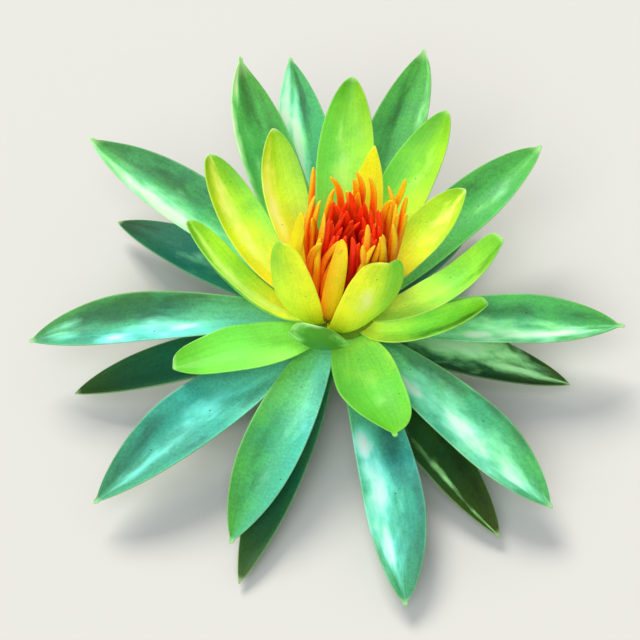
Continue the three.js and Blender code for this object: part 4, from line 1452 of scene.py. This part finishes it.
VIEW_TARGET = (-3.7, 0.0, 14.0)  # mm
FLOOR_REACH = 10.0  # m to each side, so that no view shows its end
FLOOR_DROP = 0.02  # mm under the stalk's cut


def soft_light(name, strength, colour, heading, rise, spread):
    """A distant soft light from a heading and a rise, as wide as a softbox would look."""
    data = bpy.data.lights.new(name, "SUN")
    data.energy = strength
    data.angle = math.radians(spread)
    data.color = linear(colour)[:3]
    light = bpy.data.objects.new(name, data)
    light.rotation_euler = Vector(-unit(heading, rise)).to_track_quat("-Z", "Y").to_euler()
    bpy.context.scene.collection.objects.link(light)


class LILY_OT_stage(bpy.types.Operator):
    """Make the pale floor, the soft lights and the camera"""

    bl_idname = "lily.stage"
    bl_label = "Floor, Lights and Camera"

    def execute(self, context):
        scene = context.scene
        stage = scene.lily_stage
        floor_mesh = bpy.data.meshes.new("floor")
        corners = ((-1, -1), (1, -1), (1, 1), (-1, 1))
        floor_mesh.from_pydata(
            [(x * FLOOR_REACH, y * FLOOR_REACH, 0) for x, y in corners], [], [(0, 1, 2, 3)],
        )
        material, tree = new_material("matt pale board")
        shader = add(
            tree, "ShaderNodeBsdfPrincipled", {"Base Color": tuple(stage.floor), "Roughness": 0.85},
        )
        add(tree, "ShaderNodeOutputMaterial", {"Surface": shader})
        floor_mesh.materials.append(material)
        floor = bpy.data.objects.new("floor", floor_mesh)
        floor.location.z = -FLOOR_DROP * MM
        scene.collection.objects.link(floor)

        world = bpy.data.worlds.new("soft studio")
        scene.world = world
        world.use_nodes = True
        background = world.node_tree.nodes["Background"].inputs
        background["Color"].default_value = linear("#EEF2F6")
        background["Strength"].default_value = 0.5
        soft_light("key", stage.key_strength, "#FFFBF2", heading=118, rise=46, spread=28)
        soft_light("fill", stage.fill_strength, "#F4F8FF", heading=250, rise=48, spread=50)

        camera = bpy.data.objects.new("camera", bpy.data.cameras.new("camera"))
        camera.data.sensor_width = 36
        camera.data.lens = stage.focal_length
        camera.data.clip_start = 0.01
        back = Vector((0, -math.cos(stage.camera_rise), math.sin(stage.camera_rise)))
        camera.location = Vector(VIEW_TARGET) * MM + back * stage.camera_distance
        camera.rotation_euler = (-back).to_track_quat("-Z", "Y").to_euler()
        scene.collection.objects.link(camera)
        scene.camera = camera
        scene.view_settings.view_transform = "Standard"
        return {"FINISHED"}


class LILY_PT_panel(bpy.types.Panel):
    """Lists the flower's operators and settings in the sidebar"""

    bl_idname = "LILY_PT_panel"
    bl_label = "Water Lily"
    bl_space_type = "VIEW_3D"
    bl_region_type = "UI"
    bl_category = "Water Lily"

    def draw(self, context):
        for operator in OPERATORS:
            self.layout.operator(operator.bl_idname)
        for group in SETTINGS:
            box = self.layout.box()
            values = getattr(context.scene, group)
            for key in type(values).__annotations__:
                box.prop(values, key)


OPERATORS = (
    LILY_OT_stage,
    LILY_OT_receptacle,
    LILY_OT_sepals,
    LILY_OT_outer_petals,
    LILY_OT_inner_petals,
    LILY_OT_cup_petals,
    LILY_OT_petaloids,
    LILY_OT_outer_stamens,
    LILY_OT_inner_stamens,
    LILY_OT_stigma,
)
SETTINGS = {
    "lily_blades": LilyBladeSettings,
    "lily_colours": LilyColourSettings,
    "lily_stamens": LilyStamenSettings,
    "lily_stage": LilyStageSettings,
}


def register():
    """Registers the settings, the operators and the panel."""
    for name, group in SETTINGS.items():
        bpy.utils.register_class(group)
        setattr(bpy.types.Scene, name, PointerProperty(type=group))
    for operator in OPERATORS:
        bpy.utils.register_class(operator)
    bpy.utils.register_class(LILY_PT_panel)


def unregister():
    """Takes back what register added."""
    bpy.utils.unregister_class(LILY_PT_panel)
    for operator in reversed(OPERATORS):
        bpy.utils.unregister_class(operator)
    for name, group in SETTINGS.items():
        delattr(bpy.types.Scene, name)
        bpy.utils.unregister_class(group)


def main():
    """Builds the whole flower."""
    register()
    for operator in OPERATORS:
        group, name = operator.bl_idname.split(".")
        getattr(getattr(bpy.ops, group), name)()


if __name__ == "__main__":
    main()
